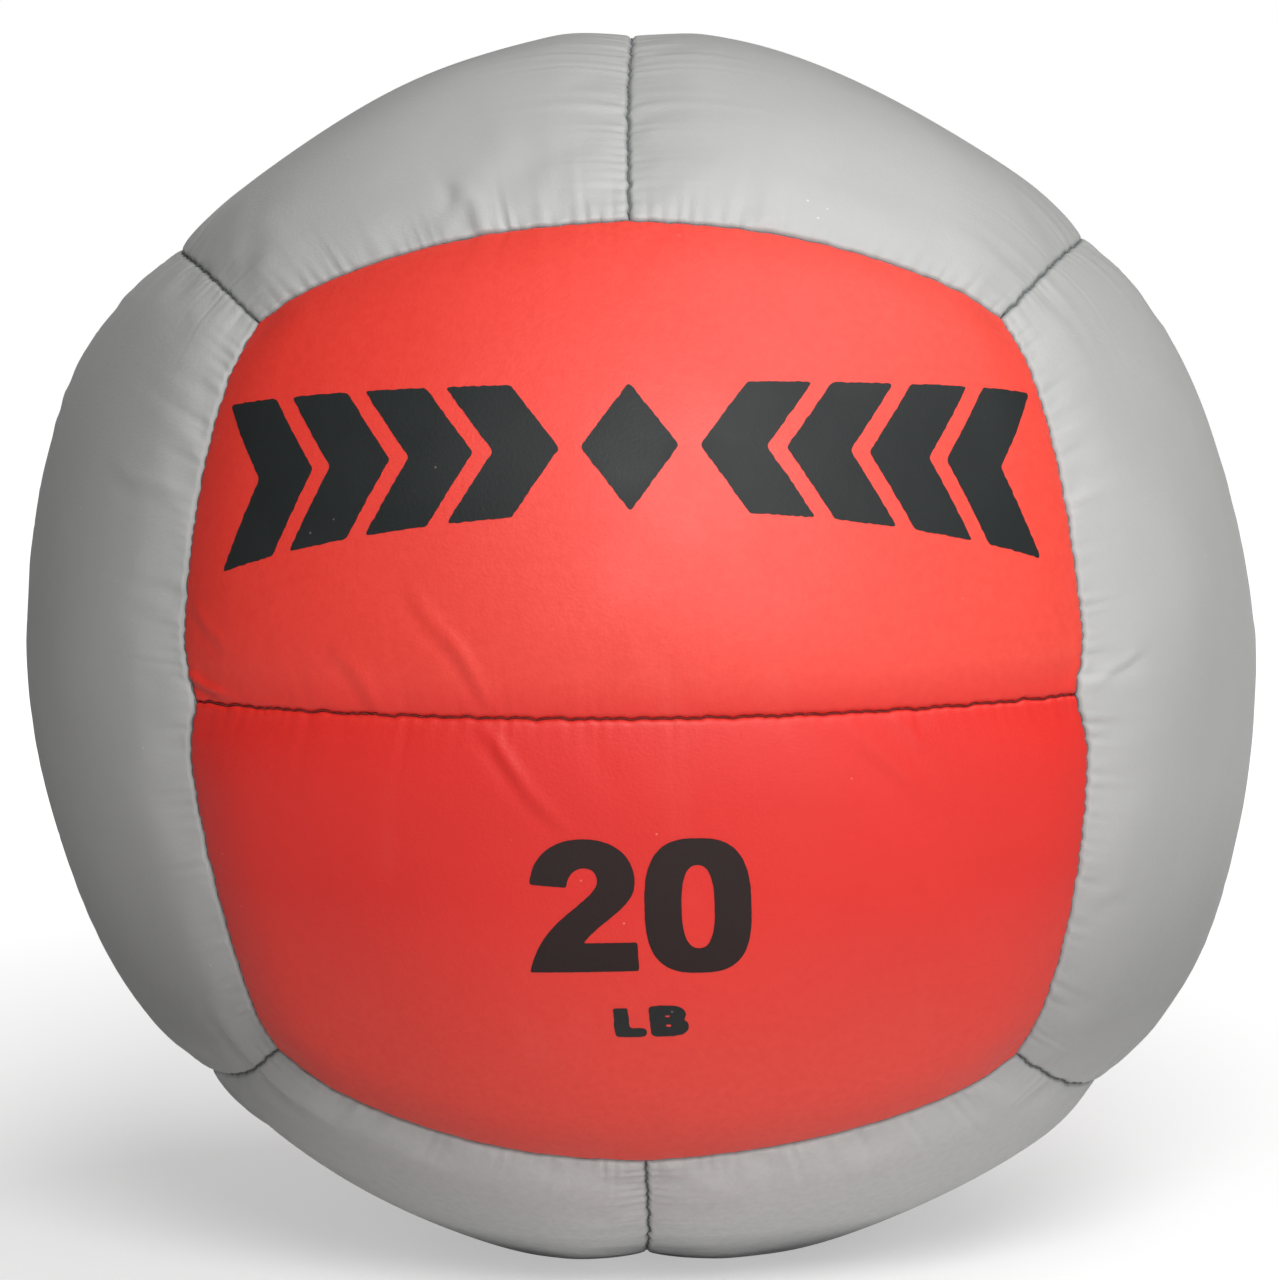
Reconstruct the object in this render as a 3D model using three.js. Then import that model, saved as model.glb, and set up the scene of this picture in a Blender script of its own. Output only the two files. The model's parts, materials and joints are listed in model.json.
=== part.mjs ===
// Soft-shell medicine ball, 14 inches across and 20 pounds, standing on the floor on the patch that its
// weight flattens. Millimetres, +Z up, origin on the floor under the middle of the ball. The front faces -Y.
//
// The cover is twelve vinyl panels in six pairs. The seam in the middle of each pair runs across the pair in
// front of it, as on a volleyball, so that the seams on the front, top and right faces run along X, Y and Z.
// Every panel folds in at its border, and the folded borders of two neighbours stand back to back and are
// sewn together. A foam pad backs each panel. Inside are a lining in two halves, fibre fill in two halves,
// and a tied bag of iron sand.

import * as THREE from "three";

// Driving dimensions.
const INCH = 25.4;
const NOMINAL_RADIUS = 7 * INCH; // half the width over the seams, as a ball of this kind is measured
const CROWN_HEIGHT = 1.9; // of the panels' crowns over that radius
const FLOOR_SINK = 4.2; // how far the weight flattens the crowns that the ball rests on
const GROOVE_LIFT = 2.6; // of the foot of the bottom seam over the floor, on the flattened patch
const SEAM_DEPTH = 4.8; // from the crown of a panel down to the foot of its seam
const ROLL_WIDTH = 12; // over which a panel rolls down into its seam
const CROWN_RISE = 1.3; // of the seam's depth, the share that rises slowly towards the middle of the panel
const WAIST_DEPTH = 1.2; // how far the seam that meets a panel half way along its long side pulls it in
const WAIST_SPREAD = 0.14; // of the panel's length, the half width of that pull
const SKIN = 1.5; // vinyl with its woven backing
const HEM_DEPTH = 9; // how far the folded border of a panel reaches in
const SEW_GAP = 0.4; // between the folded borders of two neighbours
const CLEAR = 0.5; // between one layer and the next
const FOAM_INNER_RADIUS = 165;
const FOAM_SIDE_CLEAR = 1.5; // between a pad and the folded borders round it
const LINING_RADIUS = 161;
const LINING_SKIN = 0.8;
const CORE_RADIUS = 86; // outside of the ballast bag
const CORE_SKIN = 1.2;
const CORE_CLEAR = 2; // between the ballast bag and the fill round it
const NECK_RADIUS = 9; // of the ballast bag, under its tie
const NECK_HEIGHT = 26; // of the gathered neck, above the round of the bag
const NECK_FLARE = 15; // radius of the open end of the neck
const TIE_THICKNESS = 3;
const THREAD_DIAMETER = 1;
const THREAD_LIFT = 1; // of the thread's middle over the foot of the seam
const THREAD_STOP = 3; // how far a thread ends short of the seam that it meets

// Angles of the seams, in degrees as seen from the middle of the ball.
const EDGE_ANGLE = 45; // from a face's middle to the seams round it
const CORNER_ANGLE = THREE.MathUtils.radToDeg(Math.atan(Math.SQRT1_2)); // from a seam's middle to its end
const EDGE_PULL = 1.5; // how far a middle seam draws the seam that it ends on towards its own face
const NOTCH_PULL = [0.2, 1.3, 0.2]; // more of the same close to their meeting, for faces along X, Y and Z
const NOTCH_SPREAD = 3;

// Where the grid lines of a panel and of a pad lie across them, from the middle seam to the far one. The
// pad's are some of the panel's, so that its flat facets stay under the panel's.
const PANEL_LINES = [0, 0.08, 0.17, 0.45, 0.82, 1];
const PAD_LINES = [0, 0.17, 0.45, 0.82, 1];
const THREAD_SIDES = 5;
const ROUND_SIDES = 20; // facets round the turned pieces inside
const QUARTER_STEPS = 5; // facets from pole to equator of the same

// Radii and heights worked out from the above.
const CROWN_RADIUS = NOMINAL_RADIUS + CROWN_HEIGHT;
const SEAM_RADIUS = CROWN_RADIUS - SEAM_DEPTH;
const CENTRE_HEIGHT = CROWN_RADIUS - FLOOR_SINK;
const ROLL_RISE = SEAM_DEPTH - CROWN_RISE;

const RED = new THREE.MeshStandardMaterial({ color: 0xd8382f, roughness: 0.5, metalness: 0 });
const GREY = new THREE.MeshStandardMaterial({ color: 0x9b9c9a, roughness: 0.5, metalness: 0 });
const RED_THREAD = new THREE.MeshStandardMaterial({ color: 0x7c1c18, roughness: 0.8, metalness: 0 });
const GREY_THREAD = new THREE.MeshStandardMaterial({ color: 0x4c5152, roughness: 0.8, metalness: 0 });
const FOAM = new THREE.MeshStandardMaterial({ color: 0xe9e4d2, roughness: 0.95, metalness: 0 });
const LINING = new THREE.MeshStandardMaterial({ color: 0xd9dad6, roughness: 0.9, metalness: 0 });
const FIBRE = new THREE.MeshStandardMaterial({ color: 0xb9b7b2, roughness: 1, metalness: 0 });
const CANVAS = new THREE.MeshStandardMaterial({ color: 0xc9b48b, roughness: 0.9, metalness: 0 });
const NYLON = new THREE.MeshStandardMaterial({ color: 0x1d1d1f, roughness: 0.5, metalness: 0 });
const SAND = new THREE.MeshStandardMaterial({ color: 0x34302e, roughness: 0.7, metalness: 0.4 });

const AXES = [new THREE.Vector3(1, 0, 0), new THREE.Vector3(0, 1, 0), new THREE.Vector3(0, 0, 1)];
const FACE_NAMES = [["left", "right"], ["front", "back"], ["bottom", "top"]];
const HALF_NAMES = [["left", "right"], ["front", "back"], ["lower", "upper"]];

const ball = new THREE.Group();
ball.name = "medicine_ball";
const inside = new THREE.Group(); // everything is modelled round the middle of the ball
inside.position.z = CENTRE_HEIGHT;
ball.add(inside);

function addPiece(name, geometry, material) {
  const mesh = new THREE.Mesh(geometry, material);
  mesh.name = name;
  inside.add(mesh);
}

const radians = THREE.MathUtils.degToRad;
const signOf = (side) => (side ? 1 : -1);
const axisVector = (axis, side) => AXES[axis].clone().multiplyScalar(signOf(side));

// Directions of the seams.

// The number that belongs to the axis of a face, out of one for each of X, Y and Z.
function ofFace(values, face) {
  return values[face.toArray().findIndex((part) => Math.abs(part) > 0.5)];
}

// How far, in degrees, a seam round a face is drawn from its plain arc at an angle from its middle.
function pullAt(owner, angle) {
  const fade = 1 - (angle / CORNER_ANGLE) ** 2;
  return fade * (EDGE_PULL + ofFace(NOTCH_PULL, owner) * Math.exp(-((angle / NOTCH_SPREAD) ** 2)));
}

// The seam between two faces. Owner is the face whose middle seam ends on it, and along runs with the seam.
function edgeDirection(owner, other, along, angle) {
  const lean = radians(EDGE_ANGLE - pullAt(owner, angle));
  return new THREE.Vector3()
    .addScaledVector(owner, Math.cos(lean) * Math.cos(radians(angle)))
    .addScaledVector(other, Math.sin(lean) * Math.cos(radians(angle)))
    .addScaledVector(along, Math.sin(radians(angle)));
}

function middleReach(face) {
  return EDGE_ANGLE - pullAt(face, 0);
}

// The seam down the middle of a face, which ends on the seams at both sides of it.
function middleDirection(face, along, angle) {
  return new THREE.Vector3()
    .addScaledVector(face, Math.cos(radians(angle)))
    .addScaledVector(along, Math.sin(radians(angle)));
}

// One panel: face is its pair's axis, along its middle seam and across the way from there to the far one.
class Panel {
  constructor(axis, side, half) {
    this.face = axisVector(axis, side);
    this.along = axisVector((axis + 2) % 3, 1);
    this.across = axisVector((axis + 1) % 3, half);
    this.name = `${FACE_NAMES[axis][side]}_${HALF_NAMES[(axis + 1) % 3][half]}`;
    this.isRed = axis === 1;
    this.mirrored = this.along.clone().cross(this.across).dot(this.face) < 0;
  }

  nearSeam(u) {
    return middleDirection(this.face, this.along, middleReach(this.face) * (2 * u - 1));
  }

  farSeam(u) {
    return edgeDirection(this.across, this.face, this.along, CORNER_ANGLE * (2 * u - 1));
  }

  endSeam(v, end) {
    const outward = this.along.clone().multiplyScalar(signOf(end));
    return edgeDirection(this.face, outward, this.across, CORNER_ANGLE * v);
  }

  // The direction of a point of the panel, which spans its four seams as a Coons patch.
  direction(u, v) {
    return new THREE.Vector3()
      .addScaledVector(this.nearSeam(u), 1 - v)
      .addScaledVector(this.farSeam(u), v)
      .addScaledVector(this.endSeam(v, 0), 1 - u)
      .addScaledVector(this.endSeam(v, 1), u)
      .addScaledVector(this.nearSeam(0), -(1 - u) * (1 - v))
      .addScaledVector(this.nearSeam(1), -u * (1 - v))
      .addScaledVector(this.farSeam(0), -(1 - u) * v)
      .addScaledVector(this.farSeam(1), -u * v)
      .normalize();
  }

  lengthAt(v) {
    return CROWN_RADIUS * this.endSeam(v, 0).angleTo(this.endSeam(v, 1));
  }

  widthAt(u) {
    return CROWN_RADIUS * this.nearSeam(u).angleTo(this.farSeam(u));
  }

  // The outer radius of the cover at a point of the panel.
  outerRadius(u, v) {
    const roll = (distance) => Math.sqrt(1 - (1 - Math.min(distance / ROLL_WIDTH, 1)) ** 2);
    const length = this.lengthAt(v);
    const width = this.widthAt(u);
    const rolled = roll(u * length) * roll((1 - u) * length) * roll(v * width) * roll((1 - v) * width);
    const crowned = Math.sin(Math.PI * u) * Math.sin(Math.PI * v);
    const waist = Math.exp(-(((u - 0.5) / WAIST_SPREAD) ** 2)) * (0.4 + 0.6 * v);
    return SEAM_RADIUS + rolled * (ROLL_RISE - WAIST_DEPTH * waist) + CROWN_RISE * crowned;
  }

  // A point of a layer at a radius, inset from the seams by a distance, and kept over the floor by a lift.
  point(u, v, inset, radius, lift) {
    const insetU = inset / this.lengthAt(v);
    const insetV = inset / this.widthAt(u);
    const direction = this.direction(insetU + u * (1 - 2 * insetU), insetV + v * (1 - 2 * insetV));
    const point = direction.multiplyScalar(radius);
    const floorLift = v === 0 ? lift + GROOVE_LIFT : lift;
    point.z = Math.max(point.z, floorLift - CENTRE_HEIGHT);
    return point;
  }
}

// The grid lines along a panel: on both sides of its middle as the ones across it lie on one side.
function linesAlong(lines) {
  return [...lines.slice(1).reverse().map((t) => (1 - t) / 2), ...lines.map((t) => (1 + t) / 2)];
}

// A closed solid between an outer and an inner grid of points, with rings of points between their borders.
function layeredSolid(lines, outer, rings, inner, mirrored) {
  const along = linesAlong(lines);
  const columns = along.length;
  const rows = lines.length;
  const positions = [];
  const indices = [];
  const addGrid = (pointAt) => {
    const first = positions.length / 3;
    lines.forEach((v) => along.forEach((u) => positions.push(...pointAt(u, v).toArray())));
    return first;
  };
  const border = [];
  for (let i = 0; i < columns - 1; i++) border.push([i, 0]);
  for (let j = 0; j < rows - 1; j++) border.push([columns - 1, j]);
  for (let i = columns - 1; i > 0; i--) border.push([i, rows - 1]);
  for (let j = rows - 1; j > 0; j--) border.push([0, j]);
  const addFace = (a, b, c) => indices.push(...(mirrored ? [a, c, b] : [a, b, c]));
  const fillGrid = (first, turned) => {
    for (let j = 0; j < rows - 1; j++) {
      for (let i = 0; i < columns - 1; i++) {
        const a = first + j * columns + i;
        const [b, c, d] = [a + 1, a + columns + 1, a + columns];
        if (turned) {
          addFace(a, c, b);
          addFace(a, d, c);
        } else {
          addFace(a, b, c);
          addFace(a, c, d);
        }
      }
    }
  };
  const gridRing = (first) => border.map(([i, j]) => first + j * columns + i);
  const looseRing = (pointAt) =>
    border.map(([i, j]) => {
      positions.push(...pointAt(along[i], lines[j]).toArray());
      return positions.length / 3 - 1;
    });

  const outerFirst = addGrid(outer);
  const innerFirst = addGrid(inner);
  fillGrid(outerFirst, false);
  fillGrid(innerFirst, true);
  const chain = [gridRing(outerFirst), ...rings.map(looseRing), gridRing(innerFirst)];
  for (let k = 0; k < chain.length - 1; k++) {
    const [upper, lower] = [chain[k], chain[k + 1]];
    upper.forEach((a, i) => {
      const next = (i + 1) % upper.length;
      addFace(upper[next], a, lower[i]);
      addFace(upper[next], lower[i], lower[next]);
    });
  }
  return new THREE.BufferGeometry()
    .setAttribute("position", new THREE.Float32BufferAttribute(positions, 3))
    .setIndex(indices);
}

// The vinyl panel with its folded border, which stands straight in from the seam.
function coverPanel(panel) {
  const outerInset = SEW_GAP / 2;
  const innerInset = outerInset + SKIN;
  const hemRadius = SEAM_RADIUS - HEM_DEPTH;
  const hemEdge = (inset) => (u, v) => panel.point(u, v, inset, hemRadius, SKIN);
  return layeredSolid(
    PANEL_LINES,
    (u, v) => panel.point(u, v, outerInset, panel.outerRadius(u, v), 0),
    [hemEdge(outerInset), hemEdge(innerInset)],
    (u, v) => panel.point(u, v, innerInset, panel.outerRadius(u, v) - SKIN, SKIN),
    panel.mirrored,
  );
}

// The foam pad behind a panel, between the folded borders.
function foamPad(panel) {
  const inset = SEW_GAP / 2 + SKIN + FOAM_SIDE_CLEAR;
  const lift = SKIN + CLEAR;
  return layeredSolid(
    PAD_LINES,
    (u, v) => panel.point(u, v, inset, panel.outerRadius(u, v) - lift, lift),
    [],
    (u, v) => panel.point(u, v, inset, FOAM_INNER_RADIUS, 0),
    panel.mirrored,
  );
}

// The thread of a seam, as a cord along the foot of its groove. directionAt takes a share of the way along.
function seamThread(directionAt, angleSpan) {
  const stop = THREAD_STOP / (SEAM_RADIUS * radians(angleSpan));
  const shares = linesAlong(PANEL_LINES).map((t) => Math.min(Math.max(t, stop), 1 - stop));
  const directions = shares.map(directionAt);
  const path = directions.map((d) => d.clone().multiplyScalar(SEAM_RADIUS + THREAD_LIFT));
  path.forEach((p) => (p.z = Math.max(p.z, GROOVE_LIFT - THREAD_LIFT - CENTRE_HEIGHT)));
  const positions = [];
  const indices = [];
  path.forEach((middle, k) => {
    const before = path[Math.max(k - 1, 0)];
    const after = path[Math.min(k + 1, path.length - 1)];
    const tangent = after.clone().sub(before).normalize();
    const sideways = tangent.clone().cross(directions[k]).normalize();
    for (let i = 0; i < THREAD_SIDES; i++) {
      const turn = (2 * Math.PI * i) / THREAD_SIDES;
      const point = middle.clone();
      point.addScaledVector(sideways, (THREAD_DIAMETER / 2) * Math.cos(turn));
      point.addScaledVector(directions[k], (THREAD_DIAMETER / 2) * Math.sin(turn));
      positions.push(...point.toArray());
    }
  });
  const last = (path.length - 1) * THREAD_SIDES;
  for (let k = 0; k < path.length - 1; k++) {
    for (let i = 0; i < THREAD_SIDES; i++) {
      const a = k * THREAD_SIDES + i;
      const b = k * THREAD_SIDES + ((i + 1) % THREAD_SIDES);
      indices.push(a, a + THREAD_SIDES, b, b, a + THREAD_SIDES, b + THREAD_SIDES);
    }
  }
  for (let i = 1; i < THREAD_SIDES - 1; i++) {
    indices.push(0, i, i + 1, last, last + i + 1, last + i);
  }
  return new THREE.BufferGeometry()
    .setAttribute("position", new THREE.Float32BufferAttribute(positions, 3))
    .setIndex(indices);
}

// Pieces turned about the upright axis. A profile holds [radius, height] pairs, from the top down.
function turned(profile) {
  const points = profile.map(([radius, height]) => new THREE.Vector2(radius, height)).reverse();
  return new THREE.LatheGeometry(points, ROUND_SIDES).rotateX(Math.PI / 2);
}

// Points of an arc about the origin, between two angles over the equator in degrees.
function arc(radius, fromAngle, toAngle) {
  const steps = Math.max(1, Math.round((Math.abs(toAngle - fromAngle) / 90) * QUARTER_STEPS));
  return Array.from({ length: steps + 1 }, (_, i) => {
    const angle = radians(fromAngle + ((toAngle - fromAngle) * i) / steps);
    const isPole = Math.abs(angle) > radians(89.99);
    return [isPole ? 0 : radius * Math.cos(angle), radius * Math.sin(angle)];
  });
}

// The upper half of a hollow ball. Its rim stands half a gap over the equator.
function upperHalf(outerRadius, innerProfile) {
  const rim = ([radius, height]) => [radius, Math.max(height, CLEAR / 2)];
  return turned([...arc(outerRadius, 90, 0), ...innerProfile].map(rim));
}

function addCover() {
  for (let axis = 0; axis < 3; axis++) {
    for (let side = 0; side < 2; side++) {
      for (let half = 0; half < 2; half++) {
        const panel = new Panel(axis, side, half);
        addPiece(`cover_${panel.name}`, coverPanel(panel), panel.isRed ? RED : GREY);
        addPiece(`foam_${panel.name}`, foamPad(panel), FOAM);
      }
    }
  }
}

function addThreads() {
  for (let axis = 0; axis < 3; axis++) {
    const along = axisVector((axis + 2) % 3, 1);
    const across = axisVector((axis + 1) % 3, 1);
    for (let side = 0; side < 2; side++) {
      const face = axisVector(axis, side);
      const reach = middleReach(face);
      const middle = (t) => middleDirection(face, along, reach * (2 * t - 1));
      const material = axis === 1 ? RED_THREAD : GREY_THREAD;
      addPiece(`thread_middle_${FACE_NAMES[axis][side]}`, seamThread(middle, 2 * reach), material);
      for (let end = 0; end < 2; end++) {
        const other = axisVector((axis + 2) % 3, end);
        const edge = (t) => edgeDirection(face, other, across, CORNER_ANGLE * (2 * t - 1));
        const name = `thread_${FACE_NAMES[axis][side]}_to_${FACE_NAMES[(axis + 2) % 3][end]}`;
        addPiece(name, seamThread(edge, 2 * CORNER_ANGLE), GREY_THREAD);
      }
    }
  }
}

// The bag of iron sand in the middle, gathered into a neck on top that a nylon tie closes.
const shoulderAngle = THREE.MathUtils.radToDeg(Math.acos(NECK_FLARE / CORE_RADIUS));
const tieHeight = CORE_RADIUS + NECK_HEIGHT / 3;
const mouthHeight = CORE_RADIUS + NECK_HEIGHT;

function addCore() {
  const neck = (inset) => [
    [NECK_RADIUS - inset, tieHeight + TIE_THICKNESS],
    [NECK_RADIUS - inset, tieHeight - TIE_THICKNESS],
  ];
  const bag = [
    [NECK_FLARE, mouthHeight],
    ...neck(0),
    ...arc(CORE_RADIUS, shoulderAngle, -90),
    ...arc(CORE_RADIUS - CORE_SKIN, -90, shoulderAngle),
    ...neck(CORE_SKIN).reverse(),
    [NECK_FLARE - CORE_SKIN, mouthHeight],
    [NECK_FLARE, mouthHeight],
  ];
  addPiece("ballast_bag", turned(bag), CANVAS);

  const sandRadius = CORE_RADIUS - CORE_SKIN - CLEAR;
  const sandTop = arc(sandRadius, shoulderAngle, -90);
  addPiece("ballast_sand", turned([[0, sandTop[0][1]], ...sandTop]), SAND);

  const tieRadius = TIE_THICKNESS / 2;
  const tieSteps = 8;
  const tie = Array.from({ length: tieSteps + 1 }, (_, i) => {
    const turn = (2 * Math.PI * (i % tieSteps)) / tieSteps;
    return [NECK_RADIUS + CLEAR + tieRadius * (1 - Math.cos(turn)), tieHeight + tieRadius * Math.sin(turn)];
  });
  addPiece("ballast_bag_tie", turned(tie), NYLON);
}

function addFill() {
  const outerRadius = LINING_RADIUS - LINING_SKIN - CLEAR;
  const hollow = CORE_RADIUS + CORE_CLEAR;
  const pocketRadius = NECK_FLARE + CORE_CLEAR;
  const pocketAngle = THREE.MathUtils.radToDeg(Math.acos(pocketRadius / hollow));
  const pocketTop = mouthHeight + CORE_CLEAR;
  const upperHollow = [...arc(hollow, 0, pocketAngle), [pocketRadius, pocketTop], [0, pocketTop]];
  addPiece("fibre_fill_upper", upperHalf(outerRadius, upperHollow), FIBRE);
  addPiece("fibre_fill_lower", upperHalf(outerRadius, arc(hollow, 0, 90)).rotateX(Math.PI), FIBRE);

  const lining = () => upperHalf(LINING_RADIUS, arc(LINING_RADIUS - LINING_SKIN, 0, 90));
  addPiece("lining_upper", lining(), LINING);
  addPiece("lining_lower", lining().rotateX(Math.PI), LINING);
}

addCover();
addThreads();
addFill();
addCore();

export default ball;
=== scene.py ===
# The looks of a soft-shell medicine ball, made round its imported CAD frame. Metres, +Z up, the front faces -Y.
#
# The cover is twelve vinyl panels in six pairs. Each panel is a patch between four seams. Its folded border,
# its turn into the seam, its puckers and its folds are worked out from formulas, and it is swollen by cloth
# simulation. The stitches, the print, the pads and the stuffing follow the same seams.

import json
import math

import bmesh
import bpy
import numpy as np
from mathutils import Matrix, Vector
from mathutils.bvhtree import BVHTree
from mathutils.geometry import delaunay_2d_cdt

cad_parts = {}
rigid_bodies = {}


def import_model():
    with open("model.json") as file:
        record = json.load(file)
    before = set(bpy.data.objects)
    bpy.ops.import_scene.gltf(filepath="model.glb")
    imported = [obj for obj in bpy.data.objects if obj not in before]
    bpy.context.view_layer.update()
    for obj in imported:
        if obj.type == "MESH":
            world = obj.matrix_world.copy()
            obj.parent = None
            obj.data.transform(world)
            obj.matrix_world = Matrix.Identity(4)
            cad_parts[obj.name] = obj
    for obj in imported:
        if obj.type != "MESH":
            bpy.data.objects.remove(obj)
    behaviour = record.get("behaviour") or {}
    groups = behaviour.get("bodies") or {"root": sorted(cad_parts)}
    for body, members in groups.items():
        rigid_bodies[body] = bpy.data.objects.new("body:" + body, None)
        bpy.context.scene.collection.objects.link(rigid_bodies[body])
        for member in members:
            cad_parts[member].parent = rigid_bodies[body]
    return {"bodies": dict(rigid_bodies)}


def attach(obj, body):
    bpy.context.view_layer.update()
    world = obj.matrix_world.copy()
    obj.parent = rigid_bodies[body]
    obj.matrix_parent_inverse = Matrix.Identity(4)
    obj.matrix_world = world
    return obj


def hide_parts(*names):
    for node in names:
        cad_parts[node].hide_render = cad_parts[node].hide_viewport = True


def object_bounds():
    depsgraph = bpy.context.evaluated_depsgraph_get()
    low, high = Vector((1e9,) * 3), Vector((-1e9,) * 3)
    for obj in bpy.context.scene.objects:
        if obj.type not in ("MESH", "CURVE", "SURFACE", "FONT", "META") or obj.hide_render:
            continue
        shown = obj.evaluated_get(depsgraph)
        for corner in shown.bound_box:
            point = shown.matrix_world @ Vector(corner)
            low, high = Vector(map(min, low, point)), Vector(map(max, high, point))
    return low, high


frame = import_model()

MM = 0.001
CAD_LOW, CAD_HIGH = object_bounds()
RADIUS = (CAD_HIGH.x - CAD_LOW.x) / 2
CENTRE = np.array([0.0, 0.0, CAD_HIGH.z - RADIUS])
ROOT = next(iter(frame["bodies"]))

# The cover's profile, from the foot of a seam to the crown of a panel.
SEAM_FOOT = RADIUS - 4.5 * MM
SHOULDER_RISE = 1.6 * MM  # the tight turn of the vinyl into the seam
SHOULDER_WIDTH = 1.5 * MM
SLOPE_RISE = 2.1 * MM  # the pillow slope next to it
SLOPE_WIDTH = 24 * MM
CROWN_RISE = 0.4 * MM  # the slow rise to the middle of the panel
SOFT_WAVE = 0.5 * MM  # soft unevenness all over the ball
SOFT_WAVELENGTH = 95 * MM
SKIN = 1.5 * MM
HEM_DEPTH = 8 * MM
SEW_GAP = 0.3 * MM
FLOOR_SOFTNESS = 0.25 * MM  # over which the cover turns from round to flat where it rests

# The cloth simulation that swells the panels.
SWELL_CELLS = 32  # across a panel
SWELL_FRAMES = 20
SWELL_PRESSURE = 4
GREY_EXCESS = 0.01  # how much bigger the cloth is than the shape that it is sewn to, as a share
RED_EXCESS = 0.002
SWELL_CAP = 1.2 * MM  # how far a point may move
SEWN_WITHIN = 0.2 * MM  # points of two panels that are nearer than this are sewn together

# The seams, in degrees as seen from the middle of the ball, as in the CAD.
EDGE_ANGLE = 45
CORNER_ANGLE = math.degrees(math.atan(math.sqrt(0.5)))
EDGE_PULL = 1.5
NOTCH_PULL = (0.2, 1.3, 0.2)  # where a middle seam ends on another, by the axis of its face
NOTCH_SPREAD = 3

# The stitches and the puckers that they pull.
STITCH_PITCH = 4.2 * MM
STITCH_DRIFT = 0.22  # how far the stitches wander from even spacing, in stitches
PUCKER_HEIGHT = 0.68 * MM
PUCKER_REACH = 4.5 * MM  # how far the puckers run into a panel
PUCKER_ONSET = 0.8 * MM  # how far from the seam they start
GATHER_HEIGHT = 0.24 * MM
GATHER_REACH = 14 * MM
GATHER_ONSET = 5 * MM
RED_PUCKERS = 0.25  # the red vinyl is pulled tighter, so its puckers are lower
CORNER_PUCKERS = 0.55  # and so are those of the seams between two grey pairs
SCALLOP = 0.45 * MM  # how far the seam line swings between stitches
SCALLOP_REACH = 2.5 * MM
SEAM_END_CALM = 5 * MM  # where puckers and scallops die out at the end of a seam

# Grids of a panel: cells across it, and how much finer they are at its borders than in the middle.
FINE_CELLS = 128
COARSE_STEP = 4  # fine cells to each cell of the panel's inner side
BORDER_CROWDING = 0.3

# The foam pads behind the panels.
PAD_CLEAR = 0.6 * MM  # between a pad and the vinyl over it
PAD_INSET = 1.2 * MM  # between a pad and the hems beside it
PAD_INNER_RADIUS = 165 * MM

# The threads that show in the seams.
THREAD_RADIUS = 0.24 * MM
THREAD_LIFT = 1.0 * MM  # over the foot of the seam
THREAD_SINK = 0.4 * MM  # how much deeper a thread runs where it goes through the vinyl
THREAD_STOP = 3 * MM  # how far a thread stops short of the ends of its seam
THREAD_STEPS = 8  # along each stitch
THREAD_SIDES = 8

# The stuffing and the ballast, from the middle of the ball.
LINING_RADIUS = 161 * MM
LINING_SKIN = 0.8 * MM
CLEAR = 0.5 * MM  # the gap between one layer and the next
CORE_RADIUS = 86 * MM
CORE_SKIN = 1.2 * MM
CORE_CLEAR = 2 * MM
NECK_RADIUS = 9 * MM
NECK_FLARE = 15 * MM
NECK_LENGTH = 26 * MM
TIE_HEIGHT = CORE_RADIUS + NECK_LENGTH / 3
MOUTH_HEIGHT = CORE_RADIUS + NECK_LENGTH
TIE_RADIUS = 1.5 * MM
TUFT_CLEAR = 0.3 * MM  # more room round the bag for the tufts of the stuffing
NECK_PLEATS = 22

# The print: how far it stands over the vinyl and reaches into it, and the spacing of its mesh.
INK_RISE = 0.12 * MM
INK_SINK = 0.2 * MM
INK_STEP = 1.6 * MM
INK_EDGE_STEP = 0.6 * MM

AXES = np.eye(3)
FACE_NAMES = (("left", "right"), ("front", "back"), ("bottom", "top"))
HALF_NAMES = (("left", "right"), ("front", "back"), ("lower", "upper"))


def smooth_noise(points, wavelength, seed, waves=14):
    """Noise of about unit height at points of any dimension, as a sum of sines with seeded directions."""
    rng = np.random.default_rng(seed)
    turns = rng.normal(size=(waves, points.shape[-1]))
    stretch = 2 * np.pi / wavelength * rng.uniform(0.6, 1.5, waves)
    turns *= (stretch / np.linalg.norm(turns, axis=1))[:, None]
    phases = rng.uniform(0, 2 * np.pi, waves)
    return np.sin(points @ turns.T + phases).sum(-1) / math.sqrt(waves / 2)


def line_noise(along, wavelength, seed):
    return smooth_noise(along[..., None], wavelength, seed, waves=7)


def smooth_step(x):
    t = np.clip(x, 0, 1)
    return t * t * (3 - 2 * t)


def unit(vectors):
    return vectors / np.linalg.norm(vectors, axis=-1, keepdims=True)


# Seams.


def pull_at(owner, angle):
    """How far, in degrees, a seam is drawn towards the face whose middle seam ends on it."""
    fade = 1 - (angle / CORNER_ANGLE) ** 2
    notch = NOTCH_PULL[int(np.abs(owner).argmax())]
    return fade * (EDGE_PULL + notch * np.exp(-((angle / NOTCH_SPREAD) ** 2)))


def middle_reach(face):
    return EDGE_ANGLE - pull_at(face, 0)


def edge_direction(owner, other, along, angle):
    """Directions of the seam between two faces. Owner is the face whose middle seam ends on it."""
    lean = np.radians(EDGE_ANGLE - pull_at(owner, angle))[..., None]
    turn = np.radians(angle)[..., None]
    return (owner * np.cos(lean) + other * np.sin(lean)) * np.cos(turn) + along * np.sin(turn)


def middle_direction(face, along, angle):
    """Directions of the seam down the middle of a face."""
    turn = np.radians(angle)[..., None]
    return face * np.cos(turn) + along * np.sin(turn)


def seam_seed(axis, side):
    """The number of a face's middle seam. The two seams that it ends on have the next two numbers."""
    return 100 + 10 * (2 * axis + side)


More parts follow.
